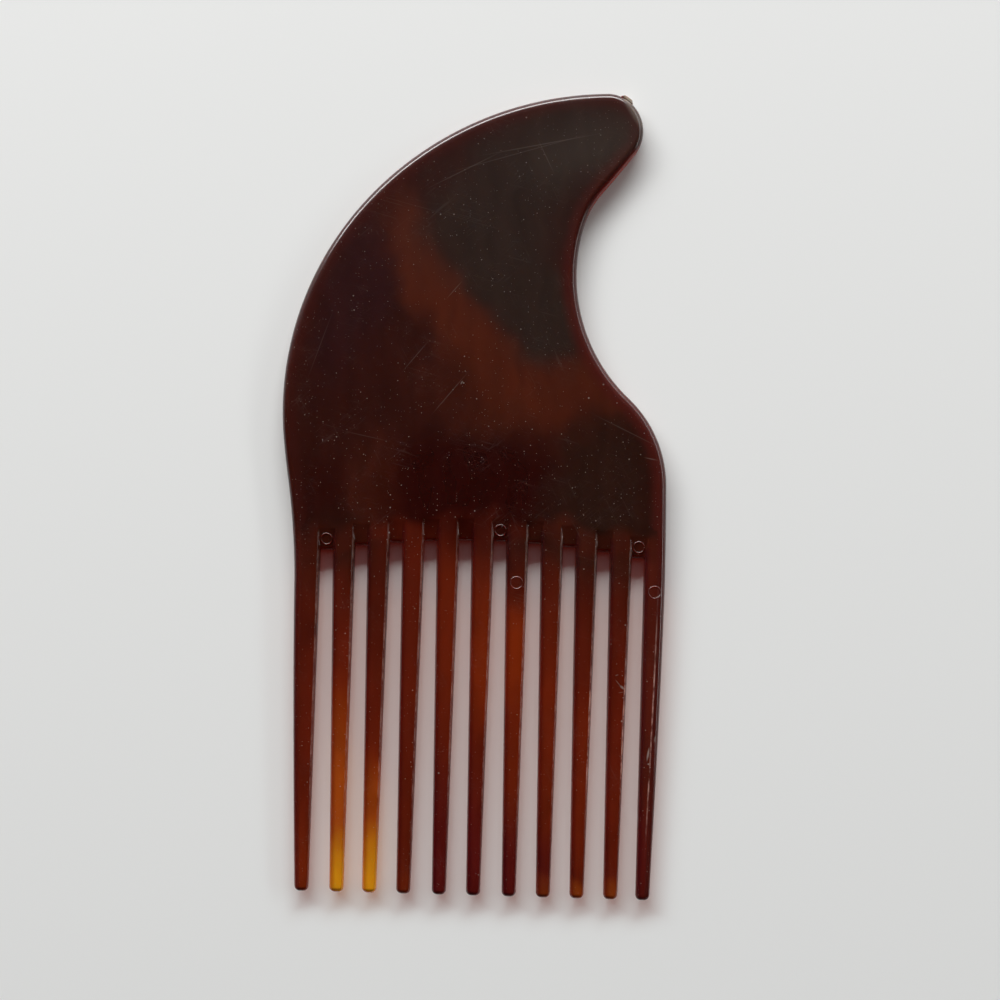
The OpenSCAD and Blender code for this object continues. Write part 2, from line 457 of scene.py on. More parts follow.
@dataclass
class Pick:
    """The whole moulding: handle, teeth, webs, marks and gate as one closed mesh.

    Args:
        outline: The handle's outline.
        skin: How far the outer edge stays inside the outline.
        wall: Distance of the webs' outermost points from the teeth.
        outer_angles: Degrees of the points across the rounding of the outer edge.
        inner_angles: Degrees of those across the edges between the teeth.
        parting: Share of the thickness that stands upright between the teeth.
        shoulder: Width of the flat strip beside a rounding.
        rim_steps: Distances of the loops on the face from its rounding.
        station_step: Distance between plain rows of points on a tooth.
        tip_angles: Degrees of the rows at its tip.
        top_step: Distance of its topmost row from the ramps.
        edge_start: Height of the handle's own edge above the end teeth's feet.
        face_start: Height of its inner loops above them.
        face_clear: Distance of the face's points from the ramps.
        grid: Distance between those points.
        nose_step: Degrees between the rows on the round nose of a root.
        ramp_rows: Number of rows on a ramp.
        web_points: Number of points in each of them.
        mark_rows: Number of finer rows on a tooth beside a mark.
        mark_points: Number of points in each ring of a mark.
        marked_gaps: Gaps with an ejector mark on their ramp.
        marked_teeth: Teeth with a mark, each with its height.
        gap_mark_radius: Radius of the marks on ramps.
        tooth_mark_radius: Radius of those on teeth.
        mark_reach: How far finer rows reach up and down from a mark.
        mark_clear: Distance of the plain rows from the finer ones.
        disc_rings: Rings inside a mark on a tooth, as shares of its radius.
        smooth_angle: Degrees above which a corner stays sharp.
    """

    outline: Outline = field(default_factory=Outline)
    skin: float = 0.02
    wall: float = 0.03
    outer_angles: tuple[float, ...] = (0, 15, 30, 45, 60, 75, 90)
    inner_angles: tuple[float, ...] = (0, 20, 38, 56, 73, 90)
    parting: float = 0.3
    shoulder: float = 0.04
    rim_steps: tuple[float, ...] = (0.25, 0.8, 1.6, 2.6, 4.0)
    station_step: float = 2.6
    tip_angles: tuple[float, ...] = (0, 12, 24, 36, 48, 60, 72, 84)
    top_step: float = 0.4
    edge_start: float = 0.2
    face_start: float = 1.5
    face_clear: float = 1.6
    grid: float = 2.4
    nose_step: int = 10
    ramp_rows: int = 9
    web_points: int = 5
    mark_rows: int = 7
    mark_points: int = 32
    marked_gaps: tuple[int, ...] = (0, 5, 9)
    marked_teeth: tuple[tuple[int, float], ...] = ((6, 64.4), (10, 63.2))
    gap_mark_radius: float = 1.12
    tooth_mark_radius: float = 1.23
    mark_reach: float = 1.5
    mark_clear: float = 0.2
    disc_rings: tuple[float, ...] = (0.6, 0.3)
    smooth_angle: float = 38.0

    def __post_init__(self) -> None:
        """Makes the teeth, the gate and an empty plan."""
        self.teeth = Teeth(self.outline)
        self.gate = Gate()
        self.plan = Plan()
        self.marks = self.place_marks()

    def place_marks(self) -> list[EjectorMark]:
        """Places the ejector marks.

        Returns:
            Those halfway down three ramps, then those on two teeth.
        """
        teeth = self.teeth
        marks = []
        for gap in self.marked_gaps:
            middle = teeth.ramp_y(gap) - teeth.ramp_length / 2
            marks.append(EjectorMark(teeth.gap_x(gap), middle, self.gap_mark_radius))
        for tooth, height in self.marked_teeth:
            sides = [teeth.side_x(tooth, side, height) for side in Side]
            marks.append(EjectorMark(sum(sides) / 2, height, self.tooth_mark_radius))
        return marks

    def gap_stations(self, gap: int) -> list[float]:
        """Finds the heights of the rows of points on the web above a gap's root.

        Args:
            gap: The gap, counted from the left.

        Returns:
            The heights, from the root up.
        """
        low, high = self.teeth.gap_y(gap), self.teeth.ramp_y(gap)
        nose = self.teeth.web_thickness / 2
        bends = [low + nose * (1 - math.cos(math.radians(angle))) for angle in range(0, 90, self.nose_step)]
        return bends + [float(y) for y in np.linspace(low + nose, high, self.ramp_rows)]

    def tooth_stations(self, tooth: int) -> list[float]:
        """Finds the heights of the rows of points on a tooth.

        Args:
            tooth: The tooth, counted from the left.

        Returns:
            The heights, from its tip to above the ramps.
        """
        teeth, reach = self.teeth, self.mark_reach
        tip = [teeth.tip_length * (1 - math.sin(math.radians(angle))) for angle in self.tip_angles]
        gaps = {teeth.gap_beside(tooth, side) for side in Side}
        root = sorted({round(y, 6) for gap in gaps for y in self.gap_stations(gap)})
        steps = math.ceil((root[0] - teeth.tip_length) / self.station_step)
        plain = np.linspace(teeth.tip_length, root[0], steps)[1:-1]
        marked = [height for number, height in self.marked_teeth if number == tooth]
        clear = [float(y) for y in plain if all(abs(y - mark) > reach + self.mark_clear for mark in marked)]
        finer = [np.linspace(mark - reach, mark + reach, self.mark_rows) for mark in marked]
        beside = [float(y) for rows in finer for y in rows]
        top = [root[-1] + self.top_step] if 0 < tooth < teeth.count - 1 else []
        rows = sorted(tip[::-1] + clear + beside + root + top)
        return [y for k, y in enumerate(rows) if k == 0 or y - rows[k - 1] > 1e-4 or y in root]

    def section(self, tooth: int, height: float) -> list[tuple[float, float, tuple[float, ...]]]:
        """Works out the points across a tooth.

        Args:
            tooth: The tooth, counted from the left.
            height: Height above the tips.

        Returns:
            Place across the comb, half thickness and distances from the edges of each point, from
            left to right.
        """
        teeth = self.teeth
        thin = math.cos(math.asin(min(max(1 - height / teeth.tip_length, 0), 1)))
        half = teeth.half_thickness(tooth, max(height, teeth.tip_length)) * thin
        tuck = (teeth.tip_width / 2 - teeth.tip_flat) * (1 - thin)
        flanks = {}
        for side in Side:
            outer = teeth.is_outer(tooth, side)
            angles = self.outer_angles if outer else self.inner_angles
            draft = 0 if outer else teeth.edge_draft * half / teeth.plate * 2
            radius = min(teeth.outer_radius if outer else teeth.edge_radius, half)
            edge = teeth.side_x(tooth, side, height) - side.value * (tuck + (self.skin if outer else 0))
            web = -1.0 if outer else teeth.web_half(teeth.gap_beside(tooth, side), height)
            rows = []
            for angle in map(math.radians, angles):
                inset = draft + radius * (1 - math.cos(angle))
                own = half - radius + radius * math.sin(angle)
                if angle == 0 and not outer:
                    inset, own = 0, self.parting * half
                rows.append((edge - side.value * inset, max(own, web), inset if outer else FAR[0]))
            inset = draft + radius + self.shoulder * min(half / teeth.tip_thickness * 2, 1)
            rows.append((edge - side.value * inset, half, inset if outer else FAR[0]))
            flanks[side] = rows
        left, right = flanks[Side.LEFT], flanks[Side.RIGHT]
        middle = ((left[-1][0] + right[-1][0]) / 2, half, FAR[0])
        cells = left + [middle] + right[::-1]
        return [(x, own, (rim, x - left[0][0], right[0][0] - x)) for x, own, rim in cells]

    def add_tooth(self, tooth: int) -> tuple[list[int], list[int], list[int]]:
        """Adds a tooth's points to the plan.

        Args:
            tooth: The tooth, counted from the left.

        Returns:
            The points of its left side from the root down, of its end from left to right, and of
            its right side from the tip up, as far as they bound the plan.
        """
        teeth, plan = self.teeth, self.plan
        on_teeth = zip(self.marked_teeth, self.marks[len(self.marked_gaps) :])
        marks = [mark for (number, _), mark in on_teeth if number == tooth]
        rows = []
        for height in self.tooth_stations(tooth):
            row = []
            for x, half, edges in self.section(tooth, height):
                hidden = any(mark.covers(x, height, 0.02) for mark in marks)
                row.append(None if hidden else plan.point(x, height, half, edges))
            rows.append(row)
        middle = 1 + len(self.outer_angles if teeth.is_outer(tooth, Side.LEFT) else self.inner_angles)
        for column in range(len(rows[0])):
            if column != middle:
                plan.chain([row[column] for row in rows])
        bounds = {}
        for side, column in ((Side.LEFT, 0), (Side.RIGHT, -1)):
            top = teeth.side_top(tooth, side)
            bounds[side] = [row[column] for row in rows if plan.places[row[column]][1] < top + 1e-5]
        return bounds[Side.LEFT][::-1], rows[0], bounds[Side.RIGHT]

    def add_gap(self, gap: int) -> list[int]:
        """Adds the points of the web above a gap's root.

        Args:
            gap: The gap, counted from the left.

        Returns:
            The points of the root's edge, from left to right.
        """
        teeth, plan = self.teeth, self.plan
        rows = []
        for height in self.gap_stations(gap):
            left = teeth.side_x(gap, Side.RIGHT, height) + self.wall
            right = teeth.side_x(gap + 1, Side.LEFT, height) - self.wall
            half = teeth.web_half(gap, height)
            xs = np.linspace(left, right, self.web_points)
            if any(mark.covers(teeth.gap_x(gap), height, 0.1) for mark in self.marks):
                xs = xs[[0, -1]]
            rows.append([plan.point(float(x), height, half) for x in xs])
        for column in (0, -1):
            plan.chain([row[column] for row in rows])
        plan.chain(rows[-1])
        return rows[0]

    def surface_at(self, tooth: int, x: float, y: float) -> list[float]:
        """Finds the surface of a tooth.

        Args:
            tooth: The tooth, counted from the left.
            x: Place across the comb.
            y: Height above the tips.

        Returns:
            Half thickness and the distances from the three edges.
        """
        cells = self.section(tooth, y)
        columns = np.array([(half, *edges) for _, half, edges in cells]).T
        return [float(np.interp(x, [cell[0] for cell in cells], column)) for column in columns]

    def add_marks(self) -> None:
        """Adds the rings of points of the ejector marks, and those inside the marks on teeth."""
        gaps = len(self.marked_gaps)
        for number, mark in enumerate(self.marks):
            rings = mark.rings()
            if number >= gaps:
                rings += [(mark.radius * share, 0) for share in self.disc_rings]
            for radius, rise in rings:
                ring = []
                for angle in np.linspace(0, 2 * math.pi, self.mark_points, endpoint=False):
                    x, y = mark.x + radius * math.cos(angle), mark.y + radius * math.sin(angle)
                    if number < gaps:
                        half, edges = self.teeth.web_half(self.marked_gaps[number], y), FAR
                    else:
                        half, *edges = self.surface_at(self.marked_teeth[number - gaps][0], x, y)
                    ring.append(self.plan.point(x, y, half, tuple(edges), rise))
                self.plan.chain(ring, closed=True)

    def add_handle(self) -> list[int]:
        """Adds the handle's rounded edge and the flat face inside it.

        Returns:
            The points of its outer edge, from the right end tooth round to the left one.
        """
        teeth, plan = self.teeth, self.plan
        foot = teeth.foot(0)
        radius, full = teeth.outer_radius, teeth.plate / 2
        base = self.outline.points(self.skin)
        keep = np.nonzero(base[:-1, 1] > foot + self.edge_start)[0]
        keep = np.arange(keep[0], keep[-1] + 1)
        angles = map(math.radians, self.outer_angles)
        rounds = [(radius * (1 - math.cos(a)), full - radius + radius * math.sin(a)) for a in angles]
        flats = [(radius + step, full) for step in self.rim_steps]
        edge: list[int] = []
        loops = []
        for inset, half in rounds + flats:
            ring = self.outline.points(self.skin + inset)[keep]
            if inset > radius + 1:
                ring = ring[ring[:, 1] > foot + self.face_start]
            stands = [self.gate.stand(p) if inset == 0 else 0 for p in ring]
            numbers = []
            for (x, y), stand in zip(ring, stands):
                thick = max(half, self.gate.half_thickness if stand else 0)
                numbers.append(plan.point(float(x), float(y), thick, (inset, *FAR[1:])))
            plan.chain(numbers)
            loops.append(ring)
            if inset == 0:
                edge = self.add_gate(ring, numbers, stands)
        self.add_face(loops[-1])
        return edge

    def add_gate(self, ring: np.ndarray, numbers: list[int], stands: list[float]) -> list[int]:
        """Adds the trimmed gate outside the edge.

        Args:
            ring: Points of the edge.
            numbers: Their numbers in the plan.
            stands: How far the gate stands out at each of them.

        Returns:
            The points that bound the plan, with the gate's in place of those it covers.
        """
        edge = []
        for k, number in enumerate(numbers):
            if stands[k] > 0:
                along = ring[k + 1] - ring[k - 1]
                out = np.array([along[1], -along[0]]) / np.linalg.norm(along)
                x, y = ring[k] + out * stands[k]
                edge.append(self.plan.point(float(x), float(y), self.gate.half_thickness, (0, *FAR[1:])))
            else:
                edge.append(number)
        return edge

    def add_face(self, loop: np.ndarray) -> None:
        """Spreads points over the flat face.

        Args:
            loop: The innermost of the loops that follow the edge.
        """
        full = self.teeth.plate / 2
        low, high = loop.min(axis=0), loop.max(axis=0)
        for row, y in enumerate(np.arange(low[1], high[1], self.grid)):
            for x in np.arange(low[0] + (row % 2) * self.grid / 2, high[0], self.grid):
                low_end = self.teeth.arch_y(x) + self.teeth.ramp_length + self.face_clear
                if y > low_end and inside(loop, x, y):
                    self.plan.point(float(x), float(y), full)

    def bounding_loop(self) -> list[int]:
        """Adds every part of the plan.

        Returns:
            The points round it, counterclockwise.
        """
        edge = self.add_handle()
        teeth = [self.add_tooth(tooth) for tooth in range(self.teeth.count)]
        gaps = [self.add_gap(gap) for gap in range(self.teeth.count - 1)]
        self.add_marks()
        first, last = teeth[0], teeth[-1]
        self.join_outer_columns()
        loop = last[2] + edge + first[0]
        for number, (left, end, right) in enumerate(teeth):
            loop += left if number > 0 else []
            loop += end[1:-1]
            loop += right if number < len(teeth) - 1 else []
            loop += gaps[number] if number < len(gaps) else []
        return loop

    def join_outer_columns(self) -> None:
        """Keeps the edges that join the rounded edge of the handle to that of the end teeth."""
        foot = self.teeth.foot(0)
        for tooth, side in ((0, Side.LEFT), (self.teeth.count - 1, Side.RIGHT)):
            cells = self.section(tooth, foot)
            cells = cells if side is Side.LEFT else cells[::-1]
            for k, angle in enumerate(map(math.radians, self.outer_angles)):
                inset = self.teeth.outer_radius * (1 - math.cos(angle))
                ring = self.outline.points(self.skin + inset)
                rows = ring[(ring[:, 0] * side.value > 0) & (ring[:, 1] > foot + self.edge_start)]
                near = rows[np.argmin(rows[:, 1])]
                start = self.plan.point(cells[k][0], foot, 0)
                self.plan.chain([start, self.plan.point(float(near[0]), float(near[1]), 0)])

    def mesh(self) -> bpy.types.Mesh:
        """Builds the closed mesh.

        Returns:
            The mesh in metres in the part's frame, with half the thickness and the distances from
            the edges as attributes in millimetres.
        """
        loop = self.bounding_loop()
        plan = self.plan
        plan.chain(loop, closed=True)
        found = delaunay_2d_cdt([Vector(p) for p in plan.places], plan.lines, [], 1, 1e-5, True)
        places = np.array([tuple(p) for p in found[0]])
        made = sum(not origin for origin in found[3])
        if made:
            log.warning("%d points were added where lines cross", made)
        values = np.zeros((len(places), 5))
        table = np.column_stack([plan.halves, plan.rises, plan.edges])
        known = np.array(plan.places)
        for k, origin in enumerate(found[3]):
            near = origin or [int(np.argmin(np.hypot(*(known - places[k]).T)))]
            values[k] = [*table[near, :2].max(axis=0), *table[near, 2:].min(axis=0)]
        faces = np.array(found[2])
        bound = known[loop]
        faces = faces[[inside(bound, *places[face].mean(axis=0)) for face in faces]]
        faces = [tuple(map(int, f if turns_left(places[f]) else f[::-1])) for f in faces]
        return self.close(places, values, faces)

    def close(self, places: np.ndarray, values: np.ndarray, faces: list[tuple[int, ...]]) -> bpy.types.Mesh:
        """Makes front, back and side wall from the triangles of the plan.

        Args:
            places: Points of the plan.
            values: Half thickness, rise of the front and distances from the edges of each point.
            faces: Triangles, counterclockwise.

        Returns:
            The mesh in metres in the part's frame.
        """
        count = len(places)
        half, rise = values[:, 0], values[:, 1]
        flat = places - self.outline.middle
        middle = self.teeth.plate / 2
        front = np.column_stack([flat, middle + half + rise])
        back = np.column_stack([flat, middle - half])
        under = np.where(half < 1e-6, np.arange(count), np.arange(count) + count)
        all_faces = faces + [tuple(int(under[v]) for v in face[::-1]) for face in faces]
        edges = {(f[k], f[(k + 1) % len(f)]) for f in faces for k in range(len(f))}
        for a, b in sorted(edges):
            if (b, a) not in edges:
                wall = [b, a, int(under[a]), int(under[b])]
                wall = [v for k, v in enumerate(wall) if v not in wall[:k]]
                if len(wall) > 2:
                    all_faces.append(tuple(wall))
        mesh = bpy.data.meshes.new("pick_moulding")
        mesh.from_pydata((np.vstack([front, back]) * MM).tolist(), [], all_faces)
        for name, column in zip(("half", *EDGES), values[:, [0, 2, 3, 4]].T):
            stored = mesh.attributes.new(name, "FLOAT", "POINT")
            stored.data.foreach_set("value", np.concatenate([column, column]).astype(np.float32))
        return mesh

    def build(self) -> bpy.types.Object:
        """Makes the piece.

        Returns:
            The piece, shaded smooth except at its sharp corners.
        """
        mesh = self.mesh()
        piece = bpy.data.objects.new("pick_moulding", mesh)
        bpy.context.scene.collection.objects.link(piece)
        dropped = drop_loose_points(mesh)
        log.info("pick: %d faces, %d unused points dropped", len(mesh.polygons), dropped)
        mesh.shade_smooth()
        mesh.set_sharp_from_angle(angle=math.radians(self.smooth_angle))
        return piece


def drop_loose_points(mesh: bpy.types.Mesh) -> int:
    """Removes the points that no face uses.

    Args:
        mesh: The mesh.

    Returns:
        How many there were.
    """
    work = bmesh.new()
    work.from_mesh(mesh)
    loose = [v for v in work.verts if not v.link_faces]
    bmesh.ops.delete(work, geom=loose, context="VERTS")
    work.to_mesh(mesh)
    work.free()
    return len(loose)


def inside(loop: np.ndarray, x: float, y: float) -> bool:
    """Tests whether a point lies inside a closed loop.

    Args:
        loop: Points of the loop.
        x: Place of the point across the comb.
        y: Its height.

    Returns:
        Whether it lies inside.
    """
    a, b = loop, np.roll(loop, -1, axis=0)
    spans = (a[:, 1] > y) != (b[:, 1] > y)
    a, b = a[spans], b[spans]
    cross = a[:, 0] + (y - a[:, 1]) / (b[:, 1] - a[:, 1]) * (b[:, 0] - a[:, 0])
    return bool(np.count_nonzero(cross > x) % 2)


def turns_left(corners: np.ndarray) -> bool:
    """Whether the corners of a triangle run counterclockwise."""
    a, b, c = corners
    return (b[0] - a[0]) * (c[1] - a[1]) - (b[1] - a[1]) * (c[0] - a[0]) > 0


class Sheet:
    """A node tree under construction."""

    def __init__(self, tree: bpy.types.NodeTree) -> None:
        """Takes the tree that the nodes are added to."""
        self.tree = tree

    def node(self, kind: str, **settings: object) -> bpy.types.Node:
        """Adds a node.

        Args:
            kind: Its type without the ShaderNode in front.
            settings: Its own settings.

        Returns:
            The node.
        """
        made = self.tree.nodes.new("ShaderNode" + kind)
        for name, value in settings.items():
            setattr(made, name, value)
        return made

    def feed(self, socket: bpy.types.NodeSocket, value: object) -> None:
        """Links a socket to another one, or sets its value.

        Args:
            socket: The socket to feed.
            value: Another socket, a constant, or None to leave the socket as it is.
        """
        if isinstance(value, bpy.types.NodeSocket):
            self.tree.links.new(value, socket)
        elif value is not None:
            socket.default_value = value

    def feed_all(self, node: bpy.types.Node, values: dict[str, object]) -> None:
        """Feeds the inputs of a node by their names."""
        for name, value in values.items():
            self.feed(node.inputs[name], value)

    def group(self, tree: bpy.types.NodeTree, values: dict[str, object]) -> bpy.types.NodeSocket:
        """Adds a group.

        Args:
            tree: The group's own nodes.
            values: What each of its inputs gets.

        Returns:
            Its first output.
        """
        made = self.node("Group", node_tree=tree)
        self.feed_all(made, values)
        return made.outputs[0]

    def math(self, operation: str, a: object, b: object = None, clamp: bool = False) -> bpy.types.NodeSocket:
        """Adds a Math node.

        Args:
            operation: What it does.
            a: Its first value.
            b: Its second value, if it takes one.
            clamp: Whether the result is held between 0 and 1.

        Returns:
            Its result.
        """
        made = self.node("Math", operation=operation, use_clamp=clamp)
        self.feed(made.inputs[0], a)
        self.feed(made.inputs[1], b)
        return made.outputs[0]

    def product(self, *factors: object) -> bpy.types.NodeSocket:
        """Multiplies two or more values and returns the result."""
        return reduce(lambda a, b: self.math("MULTIPLY", a, b), factors)

    def most(self, *values: object) -> bpy.types.NodeSocket:
        """Finds the largest of two or more values and returns it."""
        return reduce(lambda a, b: self.math("MAXIMUM", a, b), values)

    def vector(self, operation: str, a: object, b: object) -> bpy.types.NodeSocket:
        """Adds a Vector Math node.

        Args:
            operation: What it does.
            a: Its first vector.
            b: Its second vector.

        Returns:
            The vector that results.
        """
        made = self.node("VectorMath", operation=operation)
        self.feed(made.inputs[0], a)
        self.feed(made.inputs[1], b)
        return made.outputs[0]

    def dot(self, a: object, b: object) -> bpy.types.NodeSocket:
        """Adds the dot product of two vectors and returns it."""
        return self.vector("DOT_PRODUCT", a, b).node.outputs["Value"]

    def split(self, vector: object) -> tuple[bpy.types.NodeSocket, ...]:
        """Takes a vector apart.

        Args:
            vector: The vector.

        Returns:
            Its x, y and z.
        """
        made = self.node("SeparateXYZ")
        self.feed(made.inputs[0], vector)
        return tuple(made.outputs)

    def stored(self, name: str) -> bpy.types.NodeSocket:
        """Reads a value that the mesh keeps at its points."""
        return self.node("Attribute", attribute_name=name).outputs["Fac"]

    def fade(self, value: object, start: object, end: object) -> bpy.types.NodeSocket:
        """Adds a smooth step.

        Args:
            value: What it depends on.
            start: Value at which it is 0.
            end: Value at which it is 1, which may be the smaller one.

        Returns:
            Its result.
        """
        made = self.node("MapRange", interpolation_type="SMOOTHSTEP")
        self.feed_all(made, {"Value": value, "From Min": start, "From Max": end})
        return made.outputs["Result"]

    def mix(self, share: object, under: object, over: object, kind: str = "MIX") -> bpy.types.NodeSocket:
        """Mixes two colours.

        Args:
            share: How much the second one counts.
            under: The first colour.
            over: The second colour.
            kind: How they are mixed.

        Returns:
            The colour that results.
        """
        made = self.node("Mix", data_type="RGBA", blend_type=kind)
        self.feed_all(made, {"Factor": share, "A": under, "B": over})
        return made.outputs["Result"]

    def noise(self, place: object, scale: float, detail: float = 2.0, rough: float = 0.5) -> bpy.types.Node:
        """Adds a noise texture.

        Args:
            place: Where it is read.
            scale: How many of its waves come to one unit.
            detail: How many finer layers it has.
            rough: How much the finer layers count.

        Returns:
            Its node.
        """
        made = self.node("TexNoise")
        self.feed_all(made, {"Vector": place, "Scale": scale, "Detail": detail, "Roughness": rough})
        return made


def group_tree(name: str, inputs: dict[str, str], outputs: dict[str, str]) -> tuple[Sheet, object, object]:
    """Makes an empty shader group.

    Args:
        name: Its name.
        inputs: Name and kind of each input.
        outputs: Name and kind of each output.

    Returns:
        The sheet to build it on, its inputs and its outputs.
    """
    tree = bpy.data.node_groups.new(name, "ShaderNodeTree")
    for direction, sockets in (("INPUT", inputs), ("OUTPUT", outputs)):
        for label, kind in sockets.items():
            tree.interface.new_socket(name=label, in_out=direction, socket_type="NodeSocket" + kind)
    return Sheet(tree), tree.nodes.new("NodeGroupInput").outputs, tree.nodes.new("NodeGroupOutput").inputs


@dataclass(frozen=True)
class Blotch:
    """A soft-edged patch of another tone inside the plastic.

    Args:
        tone: Its tone.
        place: Its middle, in the part's frame.
        size: Its half length and half width.
        turn: Degrees from the x axis to its length.
        soft: How far its edge fades, as a share of its size.
        share: How much of its tone shows.
    """

    tone: Tone
    place: tuple[float, float]
    size: tuple[float, float]
    turn: float = 0.0
    soft: float = 0.5
    share: float = 1.0


def on_tooth(tooth: int, height: float, reach: float, tone: Tone, share: float = 0.9) -> Blotch:
    """Makes a blotch that crosses one tooth.

    Args:
        tooth: The tooth, counted from the left.
        height: Height of the blotch's middle above the tips.
        reach: How far it fades up and down from there.
        tone: Its tone.
        share: How much of its tone shows.

    Returns:
        The blotch.
    """
    middle = (TOOTH_PITCH * (tooth - MIDDLE_TOOTH) + MIDDLE_X, height - TIP_Y)
    half_width = 3.3
    soft = 0.75
    return Blotch(tone, middle, (reach, half_width), 90, soft, share)


BODY_FIGURE = (
    Blotch(Tone.EMBER, (-14, 49.5), (9.5, 5.5), -74, 0.7, 0.85),
    Blotch(Tone.EMBER, (-5, 37.5), (12, 6), -49, 0.5, 0.85),
    Blotch(Tone.EMBER, (9, 24), (13, 7), -28, 0.5, 0.75),
    Blotch(Tone.EMBER, (25, 23), (9, 5), -45, 0.5, 0.75),
    Blotch(Tone.EMBER, (10, 17), (12, 6), -15, 0.8, 0.4),
    Blotch(Tone.EMBER, (-2, 21), (14, 7), -15, 0.7, 0.2),
    Blotch(Tone.PLUM, (-24.7, 38), (17, 7), 76, 0.4, 0.8),
    Blotch(Tone.GROUND, (-22, 21), (11, 7), 80, 0.5, 0.6),
    Blotch(Tone.OLIVE, (15, 70.5), (18, 8), 20, 0.6, 0.95),
    Blotch(Tone.OLIVE, (4, 58), (15, 12), 30, 0.65, 0.95),
    Blotch(Tone.OLIVE, (6.5, 43), (17, 8.5), -48, 0.55, 0.95),
    Blotch(Tone.OLIVE, (14, 36), (5, 8), 0, 0.5, 0.95),
    Blotch(Tone.RUST, (-10, -9), (10, 6), 0, 0.7, 0.45),
    Blotch(Tone.WINE, (-1, 1), (21, 10.5), 0, 0.35, 0.95),
    Blotch(Tone.EMBER, (-21, 2), (9, 6), 80, 0.6, 0.3),
    Blotch(Tone.UMBER, (26, 4), (13, 9), 80, 0.5, 0.9),
    Blotch(Tone.UMBER, (26, -9), (12, 11), 0, 0.5, 0.8),
    Blotch(Tone.WINE, (-31, -2.5), (9, 5), 90, 0.6, 0.6),
    Blotch(Tone.UMBER, (-28, -12.5), (7, 7), 0, 0.5, 0.6),
    Blotch(Tone.RUST, (-22, -9.0), (13, 2.6), 7, 0.6, 0.24),
    Blotch(Tone.RUST, (1, -7.6), (13, 2.6), 0, 0.6, 0.18),
    Blotch(Tone.RUST, (26, -9.0), (13, 2.6), -7, 0.6, 0.25),
)

TOOTH_FIGURE = (
    on_tooth(0, 0, 62, Tone.RUST),
    on_tooth(0, 0, 12, Tone.FLAME, 0.6),
    on_tooth(1, 40, 24, Tone.RUST),
    on_tooth(1, 22, 20, Tone.FLAME),
    on_tooth(1, 14, 18, Tone.AMBER),
    on_tooth(1, -6, 12.8, Tone.HONEY, 0.95),
    on_tooth(2, 20, 42, Tone.RUST, 0.85),
    on_tooth(2, 20, 10, Tone.FLAME, 0.8),
    on_tooth(2, 9, 13, Tone.AMBER),
    on_tooth(2, -6, 14, Tone.HONEY, 0.95),
    on_tooth(3, 34, 46, Tone.RUST, 0.85),
    on_tooth(3, 0, 6, Tone.FLAME, 0.4),
    on_tooth(4, 46, 40, Tone.RUST),
    on_tooth(4, 58, 18, Tone.FLAME, 0.25),
    on_tooth(4, 4, 18, Tone.CRIMSON),
    on_tooth(5, 40, 33, Tone.RUST),
    on_tooth(5, 49, 12, Tone.FLAME, 0.7),
    on_tooth(5, 2, 18, Tone.CRIMSON),
    on_tooth(6, 34, 31, Tone.RUST, 0.95),
    on_tooth(6, 50, 9, Tone.FLAME, 0.8),
    on_tooth(6, 25, 14, Tone.FLAME, 0.25),
    on_tooth(6, 2, 12, Tone.CRIMSON),
    on_tooth(7, 33, 30, Tone.RUST, 0.95),
    on_tooth(7, 35, 24, Tone.FLAME, 0.25),
    on_tooth(7, 4, 8, Tone.CRIMSON, 0.6),
    on_tooth(7, 0, 3, Tone.AMBER, 0.3),
    on_tooth(8, 24, 36, Tone.RUST, 0.95),
    on_tooth(8, 25, 14, Tone.FLAME, 0.25),
    on_tooth(8, 0, 3, Tone.AMBER, 0.5),
    on_tooth(9, 22, 40, Tone.RUST),
    on_tooth(9, 0, 3, Tone.AMBER, 0.5),
    on_tooth(10, 34, 60, Tone.BRICK, 0.95),
    on_tooth(10, 8, 10, Tone.CRIMSON, 0.7),
)

